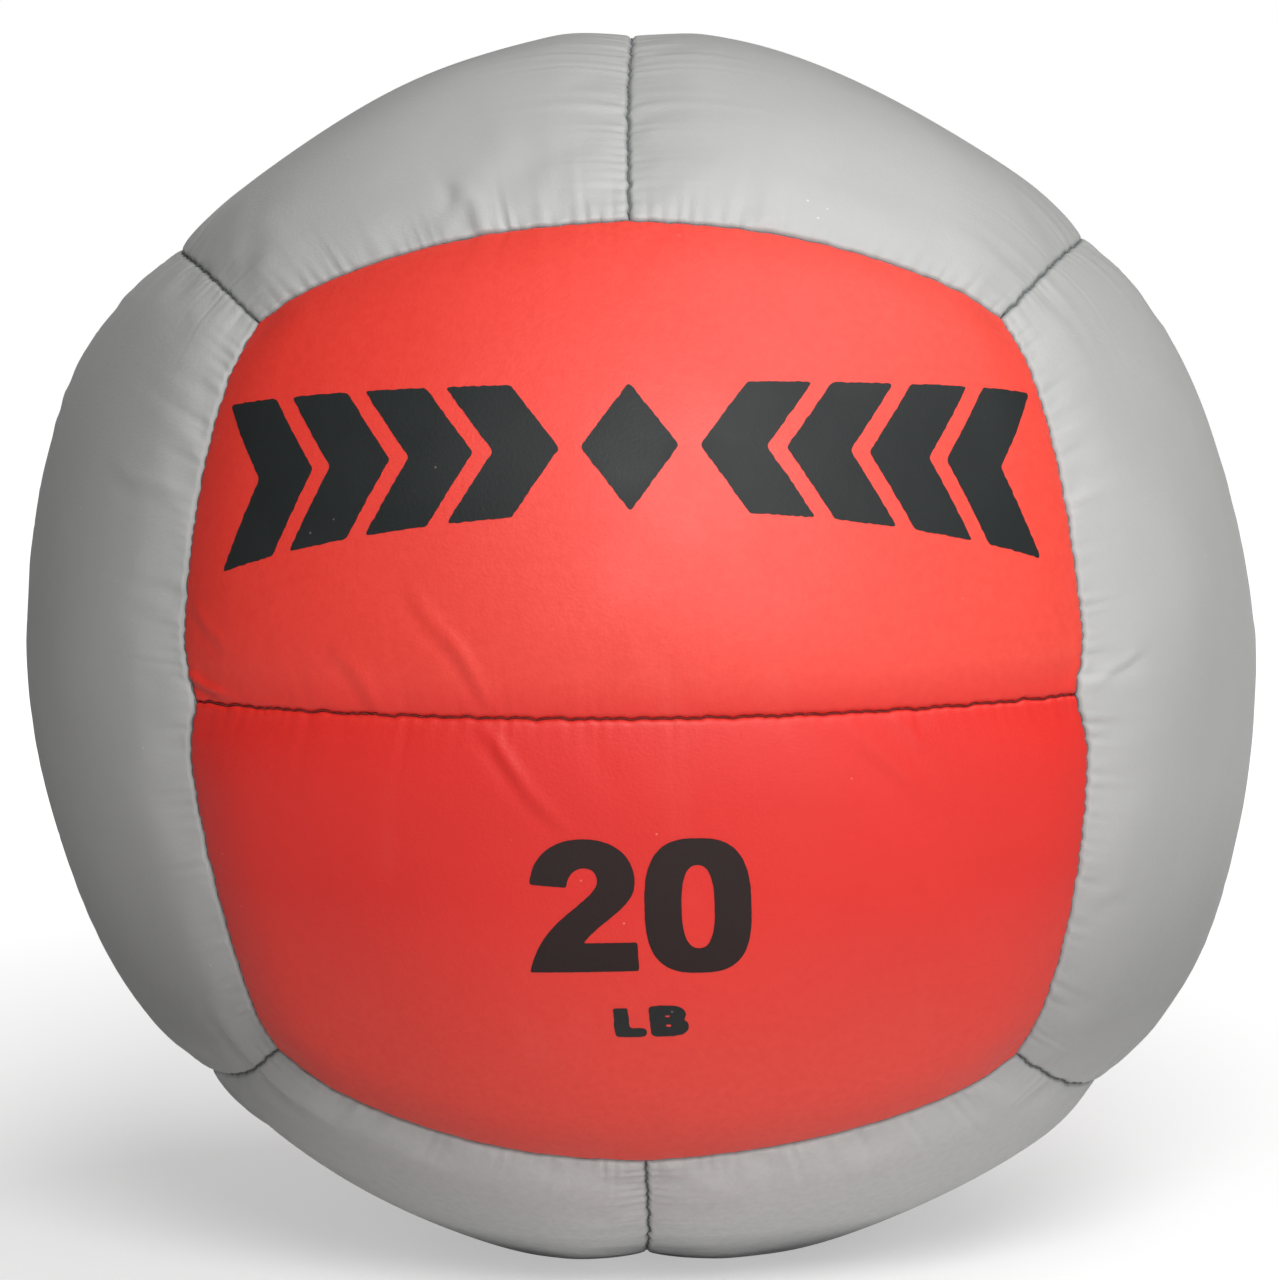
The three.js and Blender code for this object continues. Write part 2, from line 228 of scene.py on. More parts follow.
def stitch_turn(along, seed):
    """How many stitches lie between the middle of a seam and a point of it, with a little unevenness."""
    return along / STITCH_PITCH + STITCH_DRIFT * line_noise(along, 34 * MM, seed)


def stitch_lobe(along, seed):
    """The rise of the vinyl between stitches, from 0 at a stitch to 1 half way."""
    return np.abs(np.sin(np.pi * stitch_turn(along, seed)))


class Panel:
    """One of the twelve panels: half of a face of the ball, on one side of the face's middle seam."""

    def __init__(self, axis, side, half):
        self.axis, self.side, self.half = axis, side, half
        self.sign = 1 if half else -1
        self.face = AXES[axis] * (1 if side else -1)
        self.along = AXES[(axis + 2) % 3]
        self.across = AXES[(axis + 1) % 3] * self.sign
        self.name = f"{FACE_NAMES[axis][side]}_{HALF_NAMES[(axis + 1) % 3][half]}"
        self.is_red = axis == 1
        self.mirrored = np.dot(np.cross(self.along, self.across), self.face) < 0

    def near_seam(self, u):
        return middle_direction(self.face, self.along, middle_reach(self.face) * (2 * u - 1))

    def far_seam(self, u):
        return edge_direction(self.across, self.face, self.along, CORNER_ANGLE * (2 * u - 1))

    def end_seam(self, v, end):
        outward = self.along * (1 if end else -1)
        return edge_direction(self.face, outward, self.across, CORNER_ANGLE * v)

    def direction(self, u, v):
        """The panel's directions, spanned between its four seams as a Coons patch."""
        zero, one = np.zeros_like(u), np.ones_like(u)
        a, b = u[..., None], v[..., None]
        sides = self.near_seam(u) * (1 - b) + self.far_seam(u) * b
        ends = self.end_seam(v, 0) * (1 - a) + self.end_seam(v, 1) * a
        near = self.near_seam(zero) * (1 - a) + self.near_seam(one) * a
        far = self.far_seam(zero) * (1 - a) + self.far_seam(one) * a
        return unit(sides + ends - near * (1 - b) - far * b)

    def spans(self, u, v):
        """The panel's length and width through each point."""
        length = np.arccos((self.end_seam(v, 0) * self.end_seam(v, 1)).sum(-1).clip(-1, 1))
        cosine = (unit(self.near_seam(u)) * unit(self.far_seam(u))).sum(-1)
        return RADIUS * length, RADIUS * np.arccos(cosine.clip(-1, 1))

    def borders(self, u, v):
        """For each of the four seams: the distance to it, the way along it, its half length and its seed."""
        length, width = self.spans(u, v)
        edge_half = RADIUS * math.radians(CORNER_ANGLE)
        middle_half = RADIUS * math.radians(middle_reach(self.face))
        own_seed = seam_seed(self.axis, self.side)
        far_seed = seam_seed((self.axis + 1) % 3, self.half) + 1 + self.side
        return {
            "near": (v * width, (2 * u - 1) * middle_half, middle_half, own_seed),
            "far": ((1 - v) * width, (2 * u - 1) * edge_half, edge_half, far_seed),
            "end0": (u * length, self.sign * v * edge_half, edge_half, own_seed + 1),
            "end1": ((1 - u) * length, self.sign * v * edge_half, edge_half, own_seed + 2),
        }


PANELS = [Panel(axis, side, half) for axis in range(3) for side in range(2) for half in range(2)]


# The cover's surface.

# Soft lumps of the stuffing on the outline seen from the front: degrees up from +X, height in mm, and spread
# in degrees.
LUMPS = (
    (13, -1.9, 11),
    (39, 1.2, 10),
    (64, -2.1, 14),
    (92, 2.1, 7),
    (121, -3.7, 15),
    (151, 4.4, 12),
    (169, 1.7, 9),
    (213, 3.6, 16),
    (227, 2.6, 6),
    (260, 2.2, 9),
    (283, 3.1, 11),
    (309, 2.8, 10),
    (327, 6.4, 12),
    (345, -1.4, 8),
)

# Folds of the vinyl on the front half: ends as (right, up) shares of the radius, height and half width in mm.
FOLDS = (
    ((-0.540, 0.735), (-0.630, 0.645), 0.39, 3.5),
    ((-0.500, 0.745), (-0.590, 0.610), 0.45, 4.5),
    ((-0.257, 0.780), (-0.255, 0.718), 0.52, 2.6),
    ((-0.252, 0.765), (-0.208, 0.700), 0.59, 2.8),
    ((-0.236, 0.745), (-0.185, 0.870), 0.45, 6.0),
    ((-0.430, 0.100), (-0.362, -0.002), 0.36, 2.2),
    ((-0.318, 0.190), (-0.226, 0.055), 0.36, 2.2),
    ((-0.262, 0.122), (-0.200, 0.010), 0.34, 1.7),
    ((-0.665, 0.155), (-0.600, 0.080), 0.32, 1.9),
    ((-0.686, 0.042), (-0.610, 0.013), 0.90, 1.4),
    ((-0.230, -0.004), (-0.105, -0.160), 0.42, 2.0),
    ((-0.205, -0.022), (-0.160, -0.095), 0.30, 1.6),
    ((0.300, 0.000), (0.420, -0.135), 0.38, 2.6),
    ((0.372, -0.004), (0.430, -0.060), 0.30, 2.0),
    ((0.700, 0.018), (0.762, 0.064), 0.42, 1.5),
    ((0.672, -0.334), (0.730, -0.298), 0.33, 2.6),
    ((-0.790, 0.342), (-0.672, 0.302), 0.36, 3.0),
    ((-0.668, 0.552), (-0.608, 0.610), 0.39, 4.0),
)

# How the ball is out of true. The pulled seams are each a direction from the middle of the ball, a shift to
# the right and up, and a spread, in mm.
LEAN = 0.01  # towards the upper left and lower right
FRONT_SPREAD = 0.041  # how much wider the front face is than the others
PULLS = (
    ((0, -0.7, 0.72), (1.5, 0), 70),
    ((0, -0.1, 1), (2.0, 0), 60),
    ((-0.7, -0.7, -0.35), (0.6, 0), 60),
    ((-0.7, -0.7, 0.3), (-1.2, 0), 60),
    ((0.7, -0.7, 0.15), (-1.1, 0), 30),
    ((0.7, -0.7, -0.45), (0.8, 0), 35),
    ((-0.72, 0, 0.69), (-3.4, -3.4), 50),
    ((-0.3, -0.7, 0.65), (0, 1.0), 50),
    ((0.71, 0, 0.7), (2.8, -2.8), 50),
    ((0.58, -0.6, 0.55), (1.4, -0.2), 45),
    ((0.64, -0.4, -0.66), (1.2, -4.9), 50),
    ((-0.48, -0.6, -0.64), (-1.2, -1.9), 50),
    ((-0.577, -0.577, -0.577), (-1.4, 1.6), 16),
    ((0, -0.15, -1), (-3.8, 0), 60),
    ((0, -0.7, -0.72), (-1.3, 0), 50),
)
CORNER_DRAW = 1.2  # how far the corners of the front face are drawn in, both level and upright
CORNER_PULLS = tuple(
    ((right, -1, up), (-right * CORNER_DRAW, -up * CORNER_DRAW), 10) for right in (-1, 1) for up in (-1, 1)
)


def lump_height(direction):
    height = SOFT_WAVE * smooth_noise(direction * RADIUS, SOFT_WAVELENGTH, seed=7)
    for angle, rise, spread in LUMPS:
        turn = math.radians(angle)
        peak = np.array([math.cos(turn), 0, math.sin(turn)])
        off = np.degrees(np.arccos((direction @ peak).clip(-1, 1)))
        height += rise * MM * np.exp(-((off / spread) ** 2))
    return height


def fold_height(direction):
    """Soft ridges with a hollow on one side, as vinyl that has been pushed together."""
    height = np.zeros(direction.shape[:-1])
    flat = direction[..., [0, 2]] * RADIUS
    front = smooth_step(-direction[..., 1] * 8 + 0.5)
    for start, end, rise, half_width in FOLDS:
        width = half_width * MM
        a, b = np.array(start) * RADIUS, np.array(end) * RADIUS
        way = b - a
        reach = np.linalg.norm(way)
        share = ((flat - a) @ way) / reach**2
        side = ((flat - a) @ np.array([-way[1], way[0]])) / reach
        side = side + 0.25 * width * np.sin(7 * share + 40 * start[0])
        taper = np.exp(-(((share - 0.5) / 0.45) ** 4))
        ridge = np.exp(-((side / width) ** 2)) - 0.6 * np.exp(-(((side + 1.5 * width) / width) ** 2))
        height += rise * MM * taper * ridge * front
    return height


def quarter_round(x):
    return np.sqrt(1 - (1 - np.clip(x, 0, 1)) ** 2)


def calm(along, half_length):
    """0 at the ends of a seam, 1 away from them."""
    return smooth_step((half_length - np.abs(along)) / SEAM_END_CALM)


def scalloped(panel, u, v):
    """The grid moved sideways next to each seam, so that the seam line swings from stitch to stitch."""
    length, width = panel.spans(u, v)
    borders = panel.borders(u, v)

    def swing(key):
        distance, along, half_length, seed = borders[key]
        shape = stitch_lobe(along, seed) - 0.6 + 0.35 * line_noise(along, 11 * MM, seed + 3)
        return SCALLOP * shape * calm(along, half_length) * np.exp(-distance / SCALLOP_REACH)

    u = u + (swing("end1") - swing("end0")) / length
    v = v + (panel.sign * swing("near") - swing("far")) / width
    return u, v


def pucker_share(panel, border):
    """How high the puckers stand at a border of a panel, as a share of the highest."""
    if panel.is_red:
        return RED_PUCKERS
    between_grey_pairs = ("end0", "end1") if panel.axis == 0 else ("far",)
    return CORNER_PUCKERS if border in between_grey_pairs else 1


def pucker_height(panel, u, v):
    """The small ridges that run from between the stitches into the panel."""
    total = np.zeros_like(u)
    for border, (distance, along, half_length, seed) in panel.borders(u, v).items():
        height = PUCKER_HEIGHT * pucker_share(panel, border)
        reach = PUCKER_REACH * np.exp(0.55 * line_noise(along, 13 * MM, seed + 1))
        rise = height * np.exp(0.35 * line_noise(along, 17 * MM, seed + 2))
        lobe = stitch_lobe(along, seed) - 0.64
        onset = 1 - np.exp(-distance / PUCKER_ONSET)
        total += rise * lobe * onset * np.exp(-distance / reach) * calm(along, half_length)
    return total


def gather_height(panel, u, v):
    """Wider gathers that run further into the panel from some stretches of its seams."""
    total = np.zeros_like(u)
    for distance, along, half_length, seed in panel.borders(u, v).values():
        slanted = along + 0.12 * distance * line_noise(along, 60 * MM, seed + 4)
        ridges = line_noise(slanted, 12 * MM, seed + 5)
        where = smooth_step(0.5 + 0.8 * line_noise(along, 70 * MM, seed + 6))
        onset = smooth_step(distance / GATHER_ONSET)
        rise = GATHER_HEIGHT * ridges * where * onset
        total += rise * np.exp(-distance / GATHER_REACH) * calm(along, half_length)
    return total * (RED_PUCKERS if panel.is_red else 1)


def slope_share(panel, u, v):
    """0 at the seams, and 1 from a slope's width away from them."""
    share = np.ones_like(u)
    for distance, _, _, _ in panel.borders(u, v).values():
        share = share * np.sin(np.pi / 2 * np.clip(distance / SLOPE_WIDTH, 0, 1))
    return share


def cover_radius(panel, u, v):
    """The plain radius of the cover with its seams, without swelling, puckers, gathers, folds and lumps."""
    shoulder = np.ones_like(u)
    for distance, _, _, _ in panel.borders(u, v).values():
        shoulder = shoulder * quarter_round(distance / SHOULDER_WIDTH)
    crown = np.sin(np.pi * np.clip(u, 0, 1)) * np.sin(np.pi * np.clip(v, 0, 1))
    slope = slope_share(panel, u, v)
    return SEAM_FOOT + SHOULDER_RISE * shoulder + SLOPE_RISE * slope + CROWN_RISE * crown


def drift(points):
    """Points given from the ball's middle, moved as the real ball is out of true."""
    wider = points.copy()
    wider[..., [0, 2]] *= 1 + FRONT_SPREAD * np.clip(-points[..., 1:2] / RADIUS, 0, 1)
    wider *= np.linalg.norm(points, axis=-1, keepdims=True) / np.linalg.norm(wider, axis=-1, keepdims=True)
    moved = wider.copy()
    moved[..., 0] -= LEAN * wider[..., 2]
    moved[..., 2] -= LEAN * wider[..., 0]
    for place, (right, up), spread in PULLS + CORNER_PULLS:
        off = np.linalg.norm(points - unit(np.array(place)) * RADIUS, axis=-1)
        shift = np.array([right, 0, up]) * MM
        moved += shift * np.exp(-((off / (spread * MM)) ** 2))[..., None]
    return moved


def settle(points, lift=0.0):
    """Points given from the ball's middle, moved into the frame and flattened at a lift over the floor."""
    placed = drift(points) + CENTRE
    over = (placed[..., 2] - lift) / FLOOR_SOFTNESS
    placed[..., 2] = lift + FLOOR_SOFTNESS * np.logaddexp(0, over)
    return placed


def grid_lines(cells, crowding=BORDER_CROWDING):
    """Grid lines along a panel and across it. Those along it are the same on both sides of its middle."""
    even = np.linspace(0, 1, cells + 1)
    across = even - crowding * np.sin(2 * np.pi * even) / (2 * np.pi)
    along = np.concatenate([(1 - across[:0:-1]) / 2, (1 + across) / 2])
    return along, across


def inset_grid(panel, along, across, inset):
    """The grid of a layer whose border lies a distance inside the seams."""
    u, v = np.meshgrid(along, across)
    length, width = panel.spans(u, v)
    return inset / length + u * (1 - 2 * inset / length), inset / width + v * (1 - 2 * inset / width)


def panel_points(panel, along, across):
    """The outer surface of a panel's vinyl, from the ball's middle."""
    u, v = inset_grid(panel, along, across, SEW_GAP / 2)
    radius = cover_radius(panel, u, v) + pucker_height(panel, u, v) + gather_height(panel, u, v)
    radius = radius + refined(SWELLING[panel.name], FINE_CELLS // SWELL_CELLS)
    direction = panel.direction(*scalloped(panel, u, v))
    radius = radius + lump_height(direction) + fold_height(direction)
    return direction * radius[..., None]


# Meshes.


def add_object(name, data):
    added = bpy.data.objects.new(name, data)
    bpy.context.scene.collection.objects.link(added)
    return added


def new_piece(name, points, faces, material, smooth=True):
    mesh = bpy.data.meshes.new(name)
    mesh.from_pydata(points.tolist(), [], faces)
    if material:
        mesh.materials.append(material)
    if smooth:
        mesh.polygons.foreach_set("use_smooth", [True] * len(mesh.polygons))
    mesh.update()
    return add_object(name, mesh)


def grid_quads(first, rows, columns, turned):
    a = first + np.arange(rows - 1)[:, None] * columns + np.arange(columns - 1)[None, :]
    corners = [a, a + 1, a + columns + 1, a + columns]
    if turned:
        corners.reverse()
    return np.stack(corners, -1).reshape(-1, 4).tolist()


def border_ring(first, rows, columns):
    """The vertices round a grid, anticlockwise."""
    grid = first + np.arange(rows * columns).reshape(rows, columns)
    return np.concatenate([grid[0, :-1], grid[:-1, -1], grid[-1, :0:-1], grid[:0:-1, 0]])


def ring_faces(upper, lower, turned):
    """Faces from a ring of vertices down to another, which may have fewer."""
    step = len(upper) // len(lower)
    faces = []
    for k, low in enumerate(lower):
        next_low = lower[(k + 1) % len(lower)]
        fine = [upper[(k * step + i) % len(upper)] for i in range(step + 1)]
        face = [*fine[::-1], low, next_low]
        faces.append([int(i) for i in (face[::-1] if turned else face)])
    return faces


def layer_piece(name, outer, hem, inner, material, turned):
    """A closed layer between two grids of points, the inner one perhaps coarser, with rings between."""
    rows, columns = outer.shape[:2]
    inner_rows, inner_columns = inner.shape[:2]
    points = [outer.reshape(-1, 3), *hem, inner.reshape(-1, 3)]
    starts = np.cumsum([0] + [len(p) for p in points])
    rings = [border_ring(0, rows, columns)]
    rings += [np.arange(starts[i + 1], starts[i + 2]) for i in range(len(hem))]
    rings.append(border_ring(starts[-2], inner_rows, inner_columns))
    faces = grid_quads(0, rows, columns, turned)
    faces += grid_quads(starts[-2], inner_rows, inner_columns, not turned)
    for upper, lower in zip(rings, rings[1:]):
        faces += ring_faces(upper, lower, turned)
    return new_piece(name, np.concatenate(points), faces, material)


def ring_of(grid):
    rows, columns = grid.shape[:2]
    return grid.reshape(-1, 3)[border_ring(0, rows, columns)]


# Cloth simulation.


def refined(values, times):
    """Values on a grid, interpolated to a grid with so many times as many cells each way."""
    for axis in (0, 1):
        values = np.moveaxis(values, axis, 0)
        last = len(values) - 1
        place = np.arange(last * times + 1) / times
        cell = np.minimum(place.astype(int), last - 1)
        t = (place - cell)[:, None]
        a, b, c, d = (values[np.clip(cell + i, 0, last)] for i in (-1, 0, 1, 2))
        values = b + t / 2 * (c - a + t * (2 * a - 5 * b + 4 * c - d + t * (3 * (b - c) + d - a)))
        values = np.moveaxis(values, 0, axis)
    return values


def sewn_cloth():
    """The twelve panels as one sewn mesh, its seams, and which vertex each point of the grids is."""
    along, across = grid_lines(SWELL_CELLS)
    rows, columns = len(across), len(along)
    u, v = np.meshgrid(along, across)
    points = []
    faces = []
    for number, panel in enumerate(PANELS):
        radius = SEAM_FOOT + SHOULDER_RISE + SLOPE_RISE * slope_share(panel, u, v)
        points.append((panel.direction(u, v) * radius[..., None]).reshape(-1, 3))
        faces += grid_quads(number * rows * columns, rows, columns, panel.mirrored)
    points = np.concatenate(points)
    rounded = np.round(points / SEWN_WITHIN).astype(int)
    _, first, sewn = np.unique(rounded, axis=0, return_index=True, return_inverse=True)
    sewn = sewn.ravel()
    border = np.ones((rows, columns), bool)
    border[1:-1, 1:-1] = False
    seams = np.unique(sewn[np.tile(border.ravel(), len(PANELS))])
    faces = sewn[np.array(faces)].tolist()
    return points[first], faces, seams.tolist(), sewn


def add_cloth(piece):
    cloth = piece.modifiers.new("cloth", "CLOTH")
    settings = cloth.settings
    settings.quality = 5
    settings.vertex_group_mass = "seams"
    settings.use_pressure = True
    settings.uniform_pressure_force = SWELL_PRESSURE
    settings.vertex_group_shrink = "red"
    settings.shrink_min = -GREY_EXCESS
    settings.shrink_max = -RED_EXCESS
    settings.effector_weights.gravity = 0
    settings.bending_stiffness = 0.02
    cloth.collision_settings.use_collision = False
    cloth.point_cache.frame_end = SWELL_FRAMES


def eased(grid):
    """The grid with each inner value drawn to those round it, which takes out ripples from cell to cell."""
    result = grid.copy()
    rows = (grid[:, :-2] + 2 * grid[:, 1:-1] + grid[:, 2:]) / 4
    result[1:-1, 1:-1] = (rows[:-2] + 2 * rows[1:-1] + rows[2:]) / 4
    return result


def simulated_swelling():
    """How far each grid point of each panel rises when the sewn cover is blown up."""
    points, faces, seams, sewn = sewn_cloth()
    piece = new_piece("cloth", points, faces, None)
    piece.vertex_groups.new(name="seams").add(seams, 1, "REPLACE")
    red = np.repeat([panel.is_red for panel in PANELS], len(sewn) // len(PANELS))
    piece.vertex_groups.new(name="red").add(np.unique(sewn[red]).tolist(), 1, "REPLACE")
    add_cloth(piece)
    scene = bpy.context.scene
    for frame_number in range(1, SWELL_FRAMES + 1):
        scene.frame_set(frame_number)
    swollen = piece.evaluated_get(bpy.context.evaluated_depsgraph_get())
    places = np.empty(len(points) * 3)
    swollen.data.vertices.foreach_get("co", places)
    scene.frame_set(1)
    bpy.data.objects.remove(piece)
    rise = ((places.reshape(-1, 3) - points) * unit(points)).sum(-1)
    rise = SWELL_CAP * np.tanh(rise / SWELL_CAP)
    grids = rise[sewn].reshape(len(PANELS), SWELL_CELLS + 1, -1)
    return {panel.name: eased(grid) for panel, grid in zip(PANELS, grids)}


SWELLING = simulated_swelling()


# Materials.


class Paint:
    """A material under construction. Its methods add nodes and give back their output."""

    def __init__(self, name):
        self.material = bpy.data.materials.new(name)
        self.material.use_nodes = True
        self.nodes = self.material.node_tree.nodes
        self.links = self.material.node_tree.links
        self.shader = self.nodes["Principled BSDF"]
        self.place = self.nodes.new("ShaderNodeTexCoord").outputs["Object"]

    def join(self, socket, value):
        if isinstance(value, bpy.types.NodeSocket):
            self.links.new(value, socket)
        else:
            socket.default_value = value

    def set(self, name, value):
        self.join(self.shader.inputs[name], value)

    def finished(self, colour, roughness, normal):
        """Sets what every material has, and gives back the material."""
        self.set("Base Color", colour)
        self.set("Roughness", roughness)
        self.set("Normal", normal)
        return self.material

    def stretched(self, x, y, z):
        node = self.nodes.new("ShaderNodeMapping")
        self.links.new(self.place, node.inputs["Vector"])
        node.inputs["Scale"].default_value = (x, y, z)
        return node.outputs["Vector"]

    def texture(self, kind, scale, place=None):
        node = self.nodes.new(f"ShaderNodeTex{kind}")
        self.links.new(place or self.place, node.inputs["Vector"])
        node.inputs["Scale"].default_value = scale
        return node

    def noise(self, scale, detail, place=None):
        node = self.texture("Noise", scale, place)
        node.inputs["Detail"].default_value = detail
        return node.outputs["Fac"]

    def cells(self, scale):
        return self.texture("Voronoi", scale).outputs["Distance"]

    def bands(self, scale, direction, distortion=0.0):
        node = self.texture("Wave", scale)
        node.bands_direction = direction
        node.inputs["Distortion"].default_value = distortion
        return node.outputs["Fac"]

    def specks(self, scale, size, patch_scale, rarity):
        """Small round spots, in the few places where a coarser noise is high."""
        spots = self.spread(self.cells(scale), size, size - 0.04)
        rare = self.spread(self.noise(patch_scale, 1), rarity, rarity + 0.04)
        return self.math("MULTIPLY", spots, rare)

    def coordinate(self, axis):
        node = self.nodes.new("ShaderNodeSeparateXYZ")
        self.links.new(self.place, node.inputs["Vector"])
        return node.outputs[axis]

    def attribute(self, name):
        node = self.nodes.new("ShaderNodeAttribute")
        node.attribute_name = name
        return node.outputs["Fac"]

    def spread(self, value, low, high, to_low=0.0, to_high=1.0):
        """The value's range from low to high, mapped to another range and held inside it."""
        node = self.nodes.new("ShaderNodeMapRange")
        self.links.new(value, node.inputs["Value"])
        bounds = {"From Min": low, "From Max": high, "To Min": to_low, "To Max": to_high}
        for socket, bound in bounds.items():
            node.inputs[socket].default_value = bound
        return node.outputs["Result"]

    def math(self, operation, a, b):
        node = self.nodes.new("ShaderNodeMath")
        node.operation = operation
        self.join(node.inputs[0], a)
        self.join(node.inputs[1], b)
        return node.outputs["Value"]

    def mix(self, share, a, b):
        node = self.nodes.new("ShaderNodeMix")
        node.data_type = "RGBA"
        self.join(node.inputs["Factor"], share)
        for socket, colour in (("A", a), ("B", b)):
            target = [i for i in node.inputs if i.name == socket and i.type == "RGBA"][0]
            self.join(target, (*colour, 1) if isinstance(colour, tuple) else colour)
        return [o for o in node.outputs if o.type == "RGBA"][0]

    def bump(self, height, depth, strength, over=None):
        node = self.nodes.new("ShaderNodeBump")
        self.links.new(height, node.inputs["Height"])
        node.inputs["Distance"].default_value = depth
        node.inputs["Strength"].default_value = strength
        if over:
            self.links.new(over, node.inputs["Normal"])
        return node.outputs["Normal"]


def painted_light_share(paint, lit_below, painted_sheen):
    """How much painted light the vinyl has, as a share: paler below a height as painted light from below, and a
    painted sheen in its upper half, most on the right.
    """
    height, right = paint.coordinate("Z"), paint.coordinate("X")
    low = paint.spread(height, lit_below, 0.1 * RADIUS)
    upper = paint.spread(height, 0.97 * RADIUS, 1.05 * RADIUS)
    side = paint.spread(right, -RADIUS, 0.8 * RADIUS, 0.3 * painted_sheen, painted_sheen)
    return paint.math("MAXIMUM", low, paint.math("MULTIPLY", upper, side))


def scuffed(paint, base, scuff):
    """The colour with pale scuffs and a few small specks."""
    scuffs = paint.spread(paint.noise(1, 6, paint.stretched(55, 55, 18)), 0.62, 0.82, 0.0, 0.08)
    base = paint.mix(scuffs, base, scuff)
    return paint.mix(paint.specks(210, 0.09, 38, 0.66), base, scuff)


def shaded_low_and_in_seams(paint, base, shade_colour, seam_shade_reach):
    """The colour with mottled painted shade near the floor, and painted shade down in the seams."""
    # Painted shade, mottled, where the ball comes near the floor.
    floor_shade = paint.spread(paint.coordinate("Z"), 0.10 * RADIUS, 0.03 * RADIUS, 0.0, 0.6)
    patches = paint.spread(paint.noise(32, 5), 0.38, 0.62, 0.35, 1.0)
    base = paint.mix(paint.math("MULTIPLY", floor_shade, patches), base, shade_colour)
    # Painted shade down in the seams, reaching a little way out of them.
    seam_shade = paint.spread(paint.attribute("seam_distance"), 0.0, seam_shade_reach / MM, 0.6, 0.0)
    return paint.mix(seam_shade, base, shade_colour)


def coated_weave(paint):
    """The bump of a leathery grain over the weave of the cloth behind it."""
    grain = paint.bump(paint.cells(1100), 0.12 * MM, 0.35)
    weave = paint.bump(paint.noise(1, 2, paint.stretched(500, 500, 1500)), 0.08 * MM, 0.4, grain)
    return paint.bump(paint.noise(240, 3), 0.16 * MM, 0.35, weave)


def vinyl(name, colour, deep, pale, lit_below, painted_sheen, shade_colour, seam_shade_reach, low_shade, scuff, sheen):
    """Coated cloth, softly mottled between two colours, with painted shade from under its middle down, painted
    light from below and a painted sheen, scuffed, and with painted shade near the floor and in the seams.
    """
    paint = Paint(name)
    base = paint.mix(paint.spread(paint.noise(14, 5), 0.3, 0.7), deep, colour)
    # Painted shade: darker from a little under the middle of the ball downwards.
    low_shade_share = paint.spread(paint.coordinate("Z"), 0.8 * RADIUS, 0.5 * RADIUS, 0.0, low_shade)
    base = paint.mix(low_shade_share, base, shade_colour)
    # Painted light: the pale colour is mixed in low down, as light from below, and at the upper right, as a
    # sheen.
    base = paint.mix(painted_light_share(paint, lit_below, painted_sheen), base, pale)
    fine = paint.spread(paint.noise(420, 3), 0.35, 0.7, 0.0, 0.22)
    base = scuffed(paint, paint.mix(fine, base, deep), scuff)
    roughness = paint.spread(paint.noise(30, 4), 0.3, 0.7, 0.52, 0.62)
    paint.set("Specular IOR Level", 0.66)
    paint.set("Sheen Weight", sheen)
    paint.set("Sheen Roughness", 0.4)
    return paint.finished(shaded_low_and_in_seams(paint, base, shade_colour, seam_shade_reach), roughness, coated_weave(paint))


def thread(name, colour, deep):
    paint = Paint(name)
    fibres = paint.noise(2600, 3)
    base = paint.mix(paint.spread(fibres, 0.3, 0.7), deep, colour)
    return paint.finished(base, 0.75, paint.bump(fibres, 0.1 * MM, 0.8))


def ink(name, colour, worn):
    """Screen-print ink: matt, a little mottled, with the vinyl's grain through it and tiny worn spots."""
    paint = Paint(name)
    base = paint.mix(paint.spread(paint.noise(26, 5), 0.35, 0.75, 0.0, 0.5), colour, worn)
    base = paint.mix(paint.specks(260, 0.1, 60, 0.62), base, (0.16, 0.11, 0.10))
    roughness = paint.spread(paint.noise(45, 4), 0.3, 0.7, 0.5, 0.62)
    paint.set("Specular IOR Level", 0.3)
    return paint.finished(base, roughness, paint.bump(paint.cells(1100), 0.12 * MM, 0.3))


def foam():
    paint = Paint("foam")
    pores = paint.cells(650)
    base = paint.mix(paint.spread(pores, 0.1, 0.6), (0.42, 0.36, 0.20), (0.72, 0.65, 0.42))
    return paint.finished(base, 0.95, paint.bump(pores, 0.6 * MM, 0.7))


def woven(name, colour, deep, pitch):
    """Plain-weave cloth with a thread pitch."""
    paint = Paint(name)
    scale = math.pi / (10 * pitch)
    over = paint.math("MULTIPLY", paint.bands(scale, "X", 0.4), paint.bands(scale, "Z", 0.4))
    patches = paint.spread(paint.noise(20, 4), 0.3, 0.7, 0.7, 1.0)
    shade = paint.math("MULTIPLY", paint.spread(over, 0.0, 0.5, 0.4, 1.0), patches)
    paint.set("Sheen Weight", 0.2)
    return paint.finished(paint.mix(shade, deep, colour), 0.9, paint.bump(over, pitch / 3, 0.6))


def fibre():
    paint = Paint("fibre")
    strands = paint.noise(1, 8, paint.stretched(90, 90, 420))
    base = paint.mix(paint.spread(strands, 0.3, 0.7), (0.42, 0.41, 0.39), (0.86, 0.86, 0.84))
    paint.set("Sheen Weight", 0.4)
    return paint.finished(base, 1.0, paint.bump(strands, 1.2 * MM, 0.8))


def nylon():
    paint = Paint("nylon")
    braid = paint.bands(260, "DIAGONAL")
    base = paint.mix(braid, (0.012, 0.013, 0.015), (0.05, 0.05, 0.055))
    return paint.finished(base, 0.45, paint.bump(braid, 0.3 * MM, 0.8))


def iron_sand():
    paint = Paint("iron_sand")
    grains = paint.cells(1400)
    shade = paint.spread(paint.noise(900, 1), 0.35, 0.65)
    base = paint.mix(shade, (0.045, 0.04, 0.038), (0.20, 0.17, 0.155))
    roughness = paint.spread(paint.noise(1300, 1), 0.3, 0.7, 0.35, 0.7)
    paint.set("Metallic", 0.55)
    return paint.finished(base, roughness, paint.bump(grains, 0.5 * MM, 0.9))
